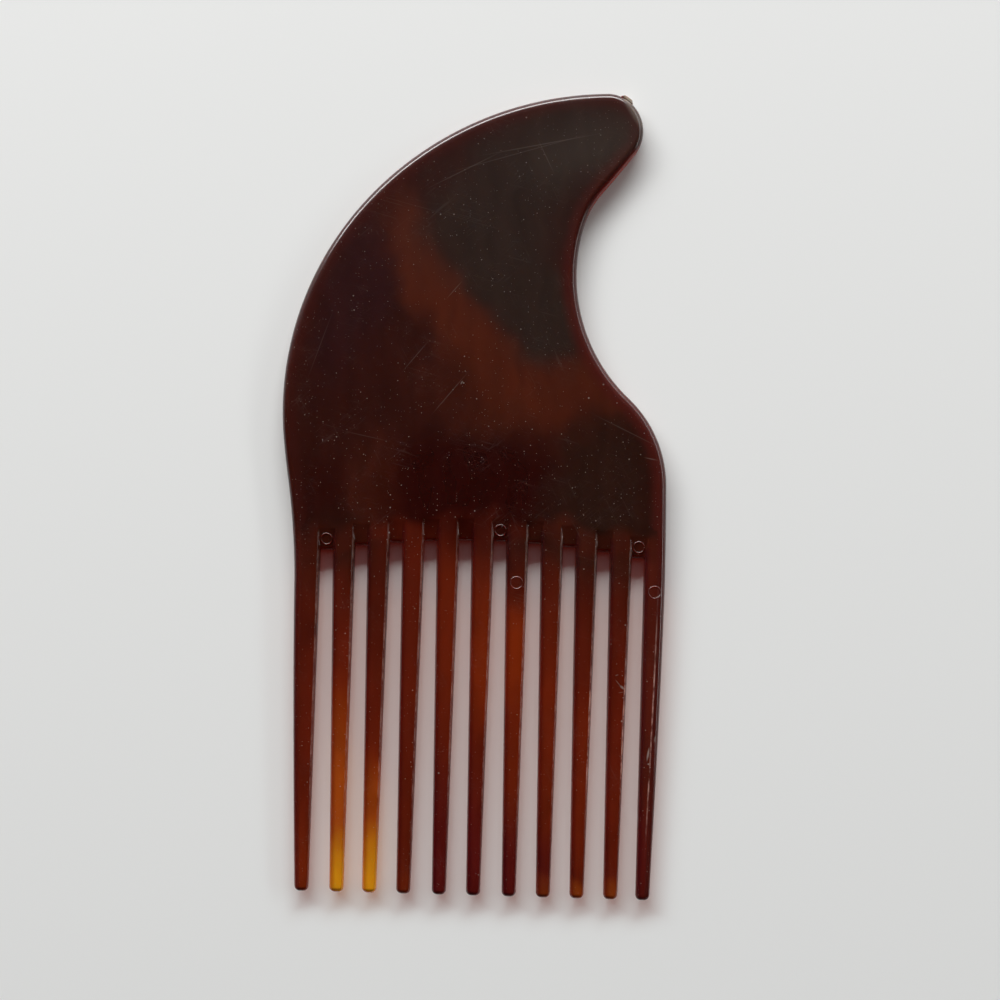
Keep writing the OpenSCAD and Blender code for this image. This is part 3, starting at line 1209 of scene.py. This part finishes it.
SCRATCHES_AND_TIP_HIGHLIGHT = (
    Blotch(Tone.DUST, (-12.7, 27.5), (3.3, 0.09), 51, 0.6, 0.1),
    Blotch(Tone.DUST, (-5.5, 20.1), (4.3, 0.09), 51, 0.6, 0.12),
    Blotch(Tone.DUST, (-3.1, 22.4), (0.35, 0.15), 60, 0.6, 0.35),
    Blotch(Tone.DUST, (-5.1, 41.3), (1.8, 0.09), 50, 0.6, 0.14),
    Blotch(Tone.DUST, (-3.5, 65.9), (6.5, 0.1), 28, 0.6, 0.09),
    Blotch(Tone.DUST, (11.7, 71.4), (9.6, 0.1), 12, 0.6, 0.1),
    Blotch(Tone.DUST, (7.2, 69.5), (12, 0.08), 17, 0.6, 0.08),
    Blotch(Tone.DUST, (12.8, 69), (3.2, 0.08), -63, 0.6, 0.1),
    Blotch(Tone.DUST, (-32.2, 29.2), (6, 0.08), 71, 0.6, 0.06),
    Blotch(Tone.DUST, (-22.5, 11), (3.8, 0.08), -11, 0.6, 0.07),
    Blotch(Tone.DUST, (31.4, 13.2), (6.6, 0.09), -25, 0.6, 0.08),
    Blotch(Tone.DUST, (36, 7.9), (1.2, 0.1), -10, 0.6, 0.2),
    Blotch(Tone.DUST, (31.4, -38.9), (0.5, 0.2), -38, 0.6, 0.6),
    Blotch(Tone.DUST, (30.5, -38.0), (0.7, 0.08), -50, 0.6, 0.3),
    Blotch(Tone.DUST, (30.2, -36.4), (0.3, 0.1), 20, 0.6, 0.3),
    Blotch(Tone.DUST, (31.2, -39.9), (0.5, 0.07), 10, 0.6, 0.3),
    Blotch(Tone.DUST, (31.6, -49.0), (5.0, 0.06), 90, 0.6, 0.25),
    Blotch(Tone.DUST, (38.4, -49.3), (0.6, 0.18), 80, 0.6, 0.4),
    Blotch(Tone.DUST, (37.05, -52.4), (1.1, 0.17), 82, 0.6, 0.7),
    # Painted highlight: a pale band just inside the rounded edge of the handle's tip.
    Blotch(Tone.HORN, (30.6, 78.3), (3.4, 0.6), -56, 0.9, 0.16),
    Blotch(Tone.HORN, (22, 71), (11, 5), 20, 0.9, 0.03),
    Blotch(Tone.HORN, (29.9, 81.6), (1.6, 1.1), -35, 0.5, 0.8),
)


@dataclass(frozen=True)
class Figure:
    """The mottled figure inside the plastic.

    Args:
        swirl_scale: Waves in a millimetre of the noise that bends the blotches' edges.
        swirl_reach: How far it bends them along x and y.
        flow_scale: Waves in a millimetre of the streaks, along x and y.
        flow_levels: Darkest and brightest of the streaks.
        teeth_from: Heights between which the teeth's own figure takes over.
    """

    swirl_scale: float = 0.12
    swirl_reach: Triple = (6.0, 9.0, 0.0)
    flow_scale: Triple = (0.3, 0.06, 0.0)
    flow_levels: Span = (0.75, 1.3)
    teeth_from: Span = (-5.0, -17.0)

    def blotch_group(self) -> bpy.types.NodeTree:
        """Builds the group that lays one blotch over a colour.

        Returns:
            The group's nodes.
        """
        vectors = dict.fromkeys(("Place", "Middle", "Along", "Across"), "Vector")
        rest = {"Under": "Color", "Tone": "Color", "Soft": "Float", "Share": "Float"}
        sheet, given, out = group_tree("Blotch", vectors | rest, {"Color": "Color"})
        offset = sheet.vector("SUBTRACT", given["Place"], given["Middle"])
        parts = [sheet.dot(offset, given[name]) for name in ("Along", "Across")]
        away = sheet.math("SQRT", sheet.math("ADD", *(sheet.product(part, part) for part in parts)))
        start = sheet.math("ADD", 1.0, given["Soft"])
        end = sheet.math("SUBTRACT", 1.0, given["Soft"])
        share = sheet.product(sheet.fade(away, start, end), given["Share"])
        sheet.feed(out["Color"], sheet.mix(share, given["Under"], given["Tone"]))
        return sheet.tree

    def layer(self, sheet: Sheet, place: object, colour: object, blotches: tuple[Blotch, ...]) -> object:
        """Lays blotches over a colour.

        Args:
            sheet: The material's nodes.
            place: Place on the piece in millimetres.
            colour: The colour under them.
            blotches: The blotches, the lowest first.

        Returns:
            The colour with all of them.
        """
        tree = bpy.data.node_groups.get("Blotch") or self.blotch_group()
        for blotch in blotches:
            turn = math.radians(blotch.turn)
            way = Vector((math.cos(turn), math.sin(turn), 0))
            values = {
                "Place": place,
                "Under": colour,
                "Tone": blotch.tone.rgba,
                "Middle": (*blotch.place, 0),
                "Along": way / blotch.size[0],
                "Across": Vector((-way.y, way.x, 0)) / blotch.size[1],
                "Soft": blotch.soft,
                "Share": blotch.share,
            }
            colour = sheet.group(tree, values)
        return colour

    def snapped(self, sheet: Sheet, place: bpy.types.NodeSocket) -> bpy.types.NodeSocket:
        """Draws the places on each tooth together, so that its figure runs along it.

        Args:
            sheet: The material's nodes.
            place: Place on the piece in millimetres.

        Returns:
            The places, each at its tooth's middle line.
        """
        x, y, z = sheet.split(place)
        # Whole pitches are added while the places are snapped, so that all of them are positive.
        shift = 20 * TOOTH_PITCH - MIDDLE_X
        column = sheet.math("SNAP", sheet.math("ADD", x, TOOTH_PITCH / 2 + shift), TOOTH_PITCH)
        joined = sheet.node("CombineXYZ")
        sheet.feed_all(joined, {"X": sheet.math("ADD", column, -shift), "Y": y, "Z": z})
        return joined.outputs[0]

    def colour(self, sheet: Sheet, place: bpy.types.NodeSocket) -> bpy.types.NodeSocket:
        """Lays the blotches over the ground tone.

        Args:
            sheet: The material's nodes.
            place: Place on the piece in millimetres.

        Returns:
            The colour of the clean plastic.
        """
        swirl = sheet.noise(place, self.swirl_scale, 1.0).outputs["Color"]
        shift = sheet.vector("MULTIPLY", sheet.vector("SUBTRACT", swirl, (0.5,) * 3), self.swirl_reach)
        bent = sheet.vector("ADD", place, shift)
        body = self.layer(sheet, bent, Tone.GROUND.rgba, BODY_FIGURE)
        along = sheet.vector("ADD", self.snapped(sheet, place), shift)
        teeth = self.layer(sheet, along, body, TOOTH_FIGURE)
        mixed = sheet.mix(sheet.fade(sheet.split(bent)[1], *self.teeth_from), body, teeth)
        flow = sheet.noise(sheet.vector("MULTIPLY", bent, self.flow_scale), 1.0, 1.0).outputs["Fac"]
        levels = sheet.node("MapRange")
        sheet.feed_all(levels, {"Value": flow, "To Min": self.flow_levels[0], "To Max": self.flow_levels[1]})
        return sheet.mix(1.0, mixed, levels.outputs["Result"], "MULTIPLY")


@dataclass(frozen=True)
class WearAndHighlight:
    """Dust and hairlines, and a painted highlight along the right side of each tooth.

    Args:
        dustiness: How pale the specks are at most.
        high_dust: Share of it on the upper part of the handle.
        dust_grows: Heights between which it grows to all of it.
        dust_rests: Steepness, as the normal's z, between which no dust and all of it holds.
        specks: Cells in a millimetre, radius and share of the cells for each size of speck.
        hair_turns: Direction and width of each set of hairlines.
        hair_stretch: How far the hairlines' noise is drawn out.
        hair_gap: Values of the patchy noise between which they come out.
        patch_scale: Waves in a millimetre of that noise.
        line_starts: Distances from the tooth's right side between which the painted highlight line begins.
        line_stops: Distances between which it ends.
        line_share: How pale the painted highlight is.
        line_ends: Heights near the tips between which it fades in.
        line_faces: Steepness between which it shows.
        line_gaps: Values of its grain between which it is kept.
        line_grain: Waves in a millimetre of its grain, along x and y.
        last_shift: How far the line lies further in on the last tooth.
        last_more: How much its grain is raised there, which closes gaps.
        last_grows: Heights between which it grows from nothing to twice its strength there.
        rubbed: Places across between which the line grows stronger on the teeth before the last one, then
        the heights at which that begins near their tips, then those at which it ends.
        rubbed_gain: How much stronger the line is there.
    """

    dustiness: float = 0.7
    high_dust: float = 0.6
    dust_grows: Span = (45.0, -5.0)
    dust_rests: Span = (0.6, 0.9)
    specks: tuple[Triple, ...] = ((0.35, 0.22, 0.1), (0.8, 0.13, 0.15), (1.7, 0.08, 0.12))
    hair_turns: tuple[tuple[float, float], ...] = ((-14, 0.010), (-62, 0.008), (41, 0.008))
    hair_stretch: Triple = (16.0, 0.7, 1000.0)
    hair_gap: Span = (0.48, 0.62)
    patch_scale: float = 0.11
    line_starts: Span = (0.16, 0.3)
    line_stops: Span = (0.56, 0.42)
    line_share: float = 0.5
    line_ends: Span = (-75.0, -56.0)
    line_faces: Span = (0.15, 0.4)
    line_gaps: Span = (0.4, 0.65)
    line_grain: Triple = (0.5, 0.2, 0.0)
    last_shift: float = 1.15
    last_more: float = 0.05
    last_grows: Span = (-16.0, -42.0)
    rubbed: tuple[Span, Span, Span] = ((18.0, 26.0), (-62.0, -50.0), (-33.0, -42.0))
    rubbed_gain: float = 3.0

    def speck_group(self) -> bpy.types.NodeTree:
        """Builds the group that scatters specks of dust.

        Returns:
            The group's nodes.
        """
        inputs = {"Place": "Vector", "Density": "Float", "Radius": "Float", "Share": "Float"}
        sheet, given, out = group_tree("Specks", inputs, {"Mask": "Float"})
        cells = sheet.node("TexVoronoi", feature="F1", voronoi_dimensions="2D")
        sheet.feed_all(cells, {"Vector": given["Place"], "Scale": given["Density"]})
        chance = sheet.node("SeparateColor")
        sheet.feed(chance.inputs[0], cells.outputs["Color"])
        chosen = sheet.math("LESS_THAN", chance.outputs[0], given["Share"])
        reach = sheet.product(given["Radius"], given["Density"], chance.outputs[1])
        near = sheet.fade(cells.outputs["Distance"], reach, sheet.product(reach, 0.4))
        sheet.feed(out["Mask"], sheet.product(near, chosen))
        return sheet.tree

    def hairline_group(self) -> bpy.types.NodeTree:
        """Builds the group that draws fine scratches in one direction.

        Returns:
            The group's nodes.
        """
        inputs = {"Place": "Vector", "Turn": "Vector", "Stretch": "Vector", "Width": "Float"}
        sheet, given, out = group_tree("Hairlines", inputs, {"Mask": "Float"})
        local = sheet.node("Mapping", vector_type="TEXTURE")
        for name, source in (("Vector", "Place"), ("Rotation", "Turn"), ("Scale", "Stretch")):
            sheet.feed(local.inputs[name], given[source])
        lines = sheet.noise(local.outputs[0], 1.0, 1.0).outputs["Fac"]
        away = sheet.math("ABSOLUTE", sheet.math("SUBTRACT", lines, 0.5))
        patches = sheet.noise(given["Place"], self.patch_scale).outputs["Fac"]
        kept = sheet.fade(patches, *self.hair_gap)
        sheet.feed(out["Mask"], sheet.product(sheet.fade(away, given["Width"], 0.0), kept))
        return sheet.tree

    def dust(self, sheet: Sheet, place: object, up: object) -> bpy.types.NodeSocket:
        """Adds the specks of dust on the two faces.

        Args:
            sheet: The material's nodes.
            place: Place on the piece in millimetres.
            up: How far the surface faces up or down.

        Returns:
            Their mask.
        """
        tree = self.speck_group()
        masks = [
            sheet.group(tree, {"Place": place, "Density": density, "Radius": radius, "Share": share})
            for density, radius, share in self.specks
        ]
        low = sheet.fade(sheet.split(place)[1], *self.dust_grows)
        low = sheet.product(low, self.dustiness * (1 - self.high_dust))
        strength = sheet.math("ADD", low, self.dustiness * self.high_dust)
        return sheet.product(sheet.most(*masks), sheet.fade(up, *self.dust_rests), strength)

    def hairlines(self, sheet: Sheet, place: bpy.types.NodeSocket) -> bpy.types.NodeSocket:
        """Adds the fine scratches in several directions.

        Args:
            sheet: The material's nodes.
            place: Place on the piece in millimetres.

        Returns:
            Their mask.
        """
        tree = self.hairline_group()
        masks = []
        for turn, width in self.hair_turns:
            values = {"Turn": (0, 0, math.radians(turn)), "Stretch": self.hair_stretch, "Width": width}
            masks.append(sheet.group(tree, {"Place": place, **values}))
        return sheet.most(*masks)

    def painted_edge_highlight(self, sheet: Sheet, place: object, teeth: object, up: object) -> bpy.types.NodeSocket:
        """Paints a broken highlight along the right side of each tooth, where its rounded edge catches the
        light.

        Args:
            sheet: The material's nodes.
            place: Place on the piece in millimetres.
            teeth: Mask of what lies below the ramps.
            up: How far the surface faces up or down.

        Returns:
            The line's mask.
        """
        x, y, _ = sheet.split(place)
        last = sheet.math("GREATER_THAN", x, MIDDLE_TOOTH * TOOTH_PITCH)
        away = sheet.math("SUBTRACT", sheet.stored("right"), sheet.product(last, self.last_shift))
        line = sheet.product(sheet.fade(away, *self.line_starts), sheet.fade(away, *self.line_stops))
        more = sheet.math("SUBTRACT", sheet.product(sheet.fade(y, *self.last_grows), 2.0), 1.0)
        strength = sheet.math("ADD", 1.0, sheet.product(last, more))
        across, bottom, top = self.rubbed
        before = sheet.math("SUBTRACT", sheet.fade(x, *across), last)
        heavy = sheet.product(sheet.fade(y, *bottom), sheet.fade(y, *top), before, self.rubbed_gain)
        strength = sheet.math("ADD", strength, sheet.most(heavy, 0.0))
        grain = sheet.noise(sheet.vector("MULTIPLY", place, self.line_grain), 1.0, 5.0, 0.8).outputs["Fac"]
        grain = sheet.math("ADD", grain, sheet.product(last, self.last_more))
        kept = sheet.product(sheet.fade(grain, *self.line_gaps), self.line_share, teeth)
        shown = sheet.product(sheet.fade(y, *self.line_ends), sheet.fade(up, *self.line_faces))
        return sheet.product(line, strength, kept, shown)


@dataclass(frozen=True)
class PaintedToothLightAndShade:
    """Light and shade painted into the teeth's colour, standing in for what the translucent plastic does with
    the light.

    Args:
        left_reach: Distances from a tooth's left side between which its painted shade grows.
        left_painted_shade: Tint of the painted shade on the left sides.
        end_faces: Normal's part along y between which a surface faces the tips.
        end_painted_light: Gain of such surfaces, a painted light.
        thin_halves: Half thicknesses between which thin places light up.
        thin_painted_glow: Painted glow that they get, as if light passed through them.
        root_heights: Heights between which the gaps' roots begin.
        root_painted_glow: Painted glow in the roots.
    """

    left_reach: Span = (1.4, 0.4)
    left_painted_shade: Rgba = (0.68, 0.5, 0.88, 1)
    end_faces: Span = (-0.2, -0.7)
    end_painted_light: Rgba = (1.9, 1.6, 1.3, 1)
    thin_halves: Span = (0.9, 0.1)
    thin_painted_glow: Rgba = (0.045, 0.0015, 0.0, 1)
    root_heights: Span = (-25.0, -18.0)
    root_painted_glow: Rgba = (0.3, 0.006, 0.0, 1)

    def layer(self, sheet: Sheet, place: object, facing: object, teeth: object, colour: object) -> object:
        """Paints the light and shade over a colour.

        Args:
            sheet: The material's nodes.
            place: Place on the piece in millimetres.
            facing: Part of the surface's normal along y.
            teeth: Mask of what lies below the ramps.
            colour: The colour under it.

        Returns:
            The colour with it.
        """
        # Painted shade on the left side of each tooth.
        left = sheet.product(sheet.fade(sheet.stored("left"), *self.left_reach), teeth)
        colour = sheet.mix(left, colour, self.left_painted_shade, "MULTIPLY")
        # Painted light on the faces that look towards the tips.
        end = sheet.fade(facing, *self.end_faces)
        colour = sheet.mix(end, colour, self.end_painted_light, "MULTIPLY")
        # Painted glow in thin places.
        thin = sheet.fade(sheet.stored("half"), *self.thin_halves)
        colour = sheet.mix(thin, colour, self.thin_painted_glow, "ADD")
        # Painted glow on the faces of the roots that look towards the tips.
        root = sheet.product(end, sheet.fade(sheet.split(place)[1], *self.root_heights))
        return sheet.mix(root, colour, self.root_painted_glow, "ADD")


@dataclass(frozen=True)
class Gloss:
    """The worn gloss, with the slight waves of the moulding in it.

    Args:
        roughness: How matt the clean plastic is on average.
        cloudiness: How far that varies.
        cloud_scale: Waves in a millimetre of its variation.
        flank_polish: How much smoother the right sides of the teeth are.
        flank_reach: Distances from a tooth's right side between which that begins.
        worn_more: How much rougher dust and hairlines are.
        wave_scale: Waves in a millimetre of the moulding's unevenness.
        wave_height: Height of that, in metres.
        wave_strength: How strongly it shows.
        hair_depth: Depth of the hairlines as a share of it.
    """

    roughness: float = 0.2
    cloudiness: float = 0.12
    cloud_scale: float = 0.35
    flank_polish: float = 0.1
    flank_reach: Span = (1.3, 0.9)
    worn_more: float = 0.5
    wave_scale: float = 0.09
    wave_height: float = 0.0001
    wave_strength: float = 0.6
    hair_depth: float = 0.02

    def shine(self, sheet: Sheet, place: object, worn: object) -> bpy.types.NodeSocket:
        """Works out the roughness.

        Args:
            sheet: The material's nodes.
            place: Place on the piece in millimetres.
            worn: Mask of dust and hairlines.

        Returns:
            The roughness.
        """
        cloud = sheet.noise(place, self.cloud_scale, 3.0).outputs["Fac"]
        lowest = self.roughness - self.cloudiness / 2
        rough = sheet.math("ADD", sheet.product(cloud, self.cloudiness), lowest)
        flank = sheet.product(sheet.fade(sheet.stored("right"), *self.flank_reach), self.flank_polish)
        rough = sheet.math("SUBTRACT", rough, flank)
        return sheet.math("ADD", rough, sheet.product(worn, self.worn_more), clamp=True)

    def relief(self, sheet: Sheet, place: object, hairs: object) -> bpy.types.NodeSocket:
        """Adds the slight waves and the depth of the hairlines.

        Args:
            sheet: The material's nodes.
            place: Place on the piece in millimetres.
            hairs: Mask of the hairlines.

        Returns:
            The bent normal.
        """
        waves = sheet.noise(place, self.wave_scale).outputs["Fac"]
        height = sheet.math("SUBTRACT", waves, sheet.product(hairs, self.hair_depth))
        bump = sheet.node("Bump")
        sheet.feed_all(bump, {"Strength": self.wave_strength, "Distance": self.wave_height, "Height": height})
        return bump.outputs[0]


@dataclass(frozen=True)
class Shadow:
    """The tinted shadow of the translucent plastic, in a plain version of its colour.

    Args:
        tones: Tones of the handle, the ramps and the teeth.
        ramps_from: Heights between which the ramps' tone begins.
        teeth_from: Heights between which the teeth's tone begins.
        thick_from: Heights between which the plate's full thickness begins.
        thickness: What that adds to the exponent.
        clearness: Exponent of the colour at the teeth.
        clearest: The palest that the shadow gets.
        pale_share: Share above which a pale blotch shows in it.
    """

    tones: tuple[Tone, Tone, Tone] = (Tone.SMOKE, Tone.CRIMSON, Tone.RUST)
    ramps_from: Span = (-2.0, -8.0)
    teeth_from: Span = (-8.0, -17.0)
    thick_from: Span = (-20.0, -10.0)
    thickness: float = 0.22
    clearness: float = 0.3
    clearest: Triple = (0.6, 0.36, 0.26)
    pale_share: float = 0.5

    def tint(self, sheet: Sheet, place: object, figure: Figure) -> bpy.types.NodeSocket:
        """Works out the shadow's colour.

        Args:
            sheet: The material's nodes.
            place: Place on the piece in millimetres.
            figure: The mottling that lays blotches over it.

        Returns:
            The colour of the light that passes.
        """
        y = sheet.split(place)[1]
        handle, ramps, teeth = (tone.rgba for tone in self.tones)
        plain = sheet.mix(sheet.fade(y, *self.ramps_from), handle, ramps)
        plain = sheet.mix(sheet.fade(y, *self.teeth_from), plain, teeth)
        pale = [blotch for blotch in TOOTH_FIGURE if blotch.tone in (Tone.AMBER, Tone.HONEY)]
        pale = tuple(blotch for blotch in pale if blotch.share > self.pale_share)
        thick = sheet.product(sheet.fade(y, *self.thick_from), self.thickness)
        tint = sheet.node("Gamma")
        sheet.feed(tint.inputs["Color"], figure.layer(sheet, place, plain, pale))
        sheet.feed(tint.inputs["Gamma"], sheet.math("ADD", thick, self.clearness))
        return sheet.vector("MINIMUM", tint.outputs[0], self.clearest)

    def cast(self, sheet: Sheet, place: object, body: bpy.types.Node, figure: Figure) -> bpy.types.NodeSocket:
        """Lets lamps shine through the plastic.

        Args:
            sheet: The material's nodes.
            place: Place on the piece in millimetres.
            body: The shader that the camera sees.
            figure: The mottling.

        Returns:
            The shader for the camera and the lamps.
        """
        clear = sheet.node("BsdfTransparent")
        sheet.feed(clear.inputs["Color"], self.tint(sheet, place, figure))
        mix = sheet.node("MixShader")
        through = sheet.node("LightPath").outputs["Is Shadow Ray"]
        for socket, value in zip(mix.inputs, (through, body.outputs[0], clear.outputs[0])):
            sheet.feed(socket, value)
        return mix.outputs[0]


@dataclass(frozen=True)
class TortoiseshellPlastic:
    """Mottled translucent plastic with a worn gloss.

    Args:
        figure: The mottling.
        wear_and_highlight: Dust, hairlines and the painted highlight along the teeth.
        glow: Light and shade painted on the teeth.
        gloss: How it mirrors.
        shadow: The shadow that it casts.
        rim_reach: Distances from the outer edge between which the rim's painted glow begins.
        rim_right: Places across between which it grows.
        rim_low: Heights between which it grows.
        rim_share: How much of it shows everywhere.
        rim_more: How much more of it shows at the lower right.
        ramp_end: Heights between which the middle ramps give way to the teeth.
        painted_highlight_colour: What the painted highlight line adds to the colour.
        hair_paleness: How pale the hairlines are.
        refraction: Refractive index.
        milk: Share of the light that scatters inside.
        depth: How deep it scatters, in metres.
        scatter: How deep each of its colours does, as a share of that.
    """

    figure: Figure = Figure()
    wear_and_highlight: WearAndHighlight = WearAndHighlight()
    glow: PaintedToothLightAndShade = PaintedToothLightAndShade()
    gloss: Gloss = Gloss()
    shadow: Shadow = Shadow()
    rim_reach: Span = (4.2, 1.3)
    rim_right: Span = (-30.0, 25.0)
    rim_low: Span = (85.0, 20.0)
    rim_share: float = 0.3
    rim_more: float = 0.6
    ramp_end: Span = (-5.4, -8.0)
    painted_highlight_colour: Rgba = (0.32, 0.21, 0.175, 1)
    hair_paleness: float = 0.04
    refraction: float = 1.49
    milk: float = 0.35
    depth: float = 0.0011
    scatter: Triple = (1.0, 0.3, 0.12)

    def rim_painted_glow(self, sheet: Sheet, place: object, colour: object) -> bpy.types.NodeSocket:
        """Paints a redder glow along the outer edge, as where light shines through the thin rounded plastic,
        most of all at the lower right.

        Args:
            sheet: The material's nodes.
            place: Place on the piece in millimetres.
            colour: The colour under it.

        Returns:
            The colour with it.
        """
        x, y, _ = sheet.split(place)
        side = sheet.product(sheet.fade(x, *self.rim_right), sheet.fade(y, *self.rim_low), self.rim_more)
        share = sheet.math("ADD", side, self.rim_share)
        near = sheet.fade(sheet.stored("rim"), *self.rim_reach)
        return sheet.mix(sheet.product(near, share), colour, Tone.RIM_GLOW.rgba)

    def tooth_mask(self, sheet: Sheet, place: object) -> bpy.types.NodeSocket:
        """Finds what lies below the arch of the ramps.

        Args:
            sheet: The material's nodes.
            place: Place on the piece in millimetres.

        Returns:
            The mask.
        """
        x, y, _ = sheet.split(place)
        drop = sheet.product(x, sheet.product(x, 0.5 / ARCH_RADIUS))
        return sheet.fade(sheet.math("ADD", y, drop), *self.ramp_end)

    def material(self) -> bpy.types.Material:
        """Builds the material.

        Returns:
            The material, which reads the distances that the mesh keeps at its points.
        """
        made = bpy.data.materials.new("tortoiseshell_plastic")
        made.use_nodes = True
        made.node_tree.nodes.clear()
        sheet = Sheet(made.node_tree)
        body = sheet.node("BsdfPrincipled")
        place = sheet.vector("MULTIPLY", sheet.node("TexCoord").outputs["Object"], (1 / MM,) * 3)
        _, facing, way = sheet.split(sheet.node("NewGeometry").outputs["Normal"])
        up = sheet.math("ABSOLUTE", way)
        teeth = self.tooth_mask(sheet, place)
        # Painted glow along the outer edge, over the plastic's mottled figure.
        colour = self.rim_painted_glow(sheet, place, self.figure.colour(sheet, place))
        # Painted light and shade on the teeth.
        colour = self.glow.layer(sheet, place, facing, teeth, colour)
        # Painted highlight along the right edge of each tooth.
        line = self.wear_and_highlight.painted_edge_highlight(sheet, place, teeth, up)
        colour = sheet.mix(line, colour, self.painted_highlight_colour, "ADD")
        # Scratches and chips, and the painted highlight inside the handle's tip.
        colour = self.figure.layer(sheet, place, colour, SCRATCHES_AND_TIP_HIGHLIGHT)
        hairs = self.wear_and_highlight.hairlines(sheet, place)
        worn = sheet.most(self.wear_and_highlight.dust(sheet, place, up), sheet.product(hairs, self.hair_paleness))
        settings = {
            "Base Color": sheet.mix(worn, colour, Tone.DUST.rgba),
            "Roughness": self.gloss.shine(sheet, place, worn),
            "Normal": self.gloss.relief(sheet, place, hairs),
            "IOR": self.refraction,
            "Subsurface Weight": self.milk,
            "Subsurface Radius": self.scatter,
            "Subsurface Scale": self.depth,
        }
        sheet.feed_all(body, settings)
        out = sheet.node("OutputMaterial")
        sheet.feed(out.inputs["Surface"], self.shadow.cast(sheet, place, body, self.figure))
        return made


@dataclass(frozen=True)
class Panel:
    """A soft panel light that faces the pick.

    Args:
        name: Its name.
        azimuth: Degrees from the x axis to it.
        height: Degrees above the table.
        size: Its width and height in metres.
        watts: Its power.
        distance: How far away it is, in metres.
    """

    name: str
    azimuth: float
    height: float
    size: tuple[float, float]
    watts: float
    distance: float = 2.4

    def build(self) -> None:
        """Adds the light."""
        data = bpy.data.lights.new(self.name, "AREA")
        data.shape = "RECTANGLE"
        data.size, data.size_y = self.size
        data.energy = self.watts
        lamp = bpy.data.objects.new(self.name, data)
        a, e = math.radians(self.azimuth), math.radians(self.height)
        away = Vector((math.cos(a) * math.cos(e), math.sin(a) * math.cos(e), math.sin(e)))
        lamp.location = away * self.distance
        lamp.rotation_euler = away.to_track_quat("Z", "Y").to_euler()
        bpy.context.scene.collection.objects.link(lamp)


@dataclass(frozen=True)
class Studio:
    """The pale table, the soft lights and the camera straight above.

    Args:
        aim: Point of the table under the camera.
        level: Height of the plane that the picture is measured in.
        distance: From that plane to the camera.
        field_width: What the picture shows of that plane.
        turn: Degrees that the camera is turned.
        sensor: Width of the camera's sensor.
        table_reach: Half the table's width, in metres.
        table_drop: How far its top lies under the pick, in metres.
        table_tone: Its colour.
        table_roughness: How matt it is.
        sky_tone: Colour of the room's light.
        ring_end: Direction's parts along z between which the bright part of the room begins.
        ring_front: Its parts along y between which it does.
        sheen_from: Its parts along y between which the weaker light behind the pick begins.
        sheen: Strength of that light.
        backdrop: Strength of the room where the camera sees it.
        panels: The lights.
    """

    aim: tuple[float, float] = (5.37, -1.32)
    level: float = 1.7
    distance: float = 340.0
    field_width: float = 205.0
    turn: float = 1.6
    sensor: float = 36.0
    table_reach: float = 1.5
    table_drop: float = 0.0001
    table_tone: Rgba = (0.78, 0.78, 0.765, 1)
    table_roughness: float = 0.6
    sky_tone: Rgba = (0.93, 0.96, 1.0, 1)
    ring_end: Span = (0.66, 0.38)
    ring_front: Span = (0.0, 0.6)
    sheen_from: Span = (0.05, 0.35)
    sheen: float = 0.19
    backdrop: float = 0.75
    panels: tuple[Panel, ...] = (
        Panel("window", 104, 25, (3.6, 0.6), 130),
        Panel("side_light", 20, 22, (2.8, 0.22), 14),
    )

    def add_camera(self) -> None:
        """Adds the camera that looks straight down."""
        data = bpy.data.cameras.new("camera")
        data.sensor_width = self.sensor
        data.lens = self.sensor * self.distance / self.field_width
        data.clip_start, data.clip_end = 0.01, 10
        camera = bpy.data.objects.new("camera", data)
        camera.location = Vector((*self.aim, self.level + self.distance)) * MM
        camera.rotation_euler = (0, 0, math.radians(self.turn))
        bpy.context.scene.collection.objects.link(camera)
        bpy.context.scene.camera = camera

    def add_table(self) -> None:
        """Adds the table top just under the pick's back."""
        mesh = bpy.data.meshes.new("table_top")
        reach = self.table_reach
        corners = [(-reach, -reach), (reach, -reach), (reach, reach), (-reach, reach)]
        mesh.from_pydata([(x, y, -self.table_drop) for x, y in corners], [], [(0, 1, 2, 3)])
        table = bpy.data.objects.new("table_top", mesh)
        bpy.context.scene.collection.objects.link(table)
        made = bpy.data.materials.new("table_top")
        made.use_nodes = True
        body = made.node_tree.nodes["Principled BSDF"]
        body.inputs["Base Color"].default_value = self.table_tone
        body.inputs["Roughness"].default_value = self.table_roughness
        mesh.materials.append(made)

    def add_sky(self) -> None:
        """Adds the even light of the room."""
        world = bpy.data.worlds.new("room")
        bpy.context.scene.world = world
        world.use_nodes = True
        sheet = Sheet(world.node_tree)
        back = world.node_tree.nodes["Background"]
        back.inputs["Color"].default_value = self.sky_tone
        _, y, z = sheet.split(sheet.node("TexCoord").outputs["Generated"])
        ring = sheet.product(sheet.fade(z, *self.ring_end), sheet.fade(y, *self.ring_front))
        bright = sheet.product(sheet.fade(y, *self.sheen_from), self.sheen)
        seen = sheet.product(sheet.node("LightPath").outputs["Is Camera Ray"], self.backdrop)
        sheet.feed(back.inputs["Strength"], sheet.most(ring, bright, seen))

    def build(self) -> None:
        """Adds everything round the pick."""
        self.add_camera()
        self.add_table()
        self.add_sky()
        for panel in self.panels:
            panel.build()
        bpy.context.scene.view_settings.view_transform = "Standard"


def main() -> None:
    """Builds the scene."""
    logging.basicConfig(level=logging.INFO, format="%(name)s: %(message)s")
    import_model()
    Studio().build()
    pick = Pick()
    piece = pick.build()
    piece.data.materials.append(TortoiseshellPlastic().material())
    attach(piece, "root")
    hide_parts("pick")


if __name__ == "__main__":
    main()
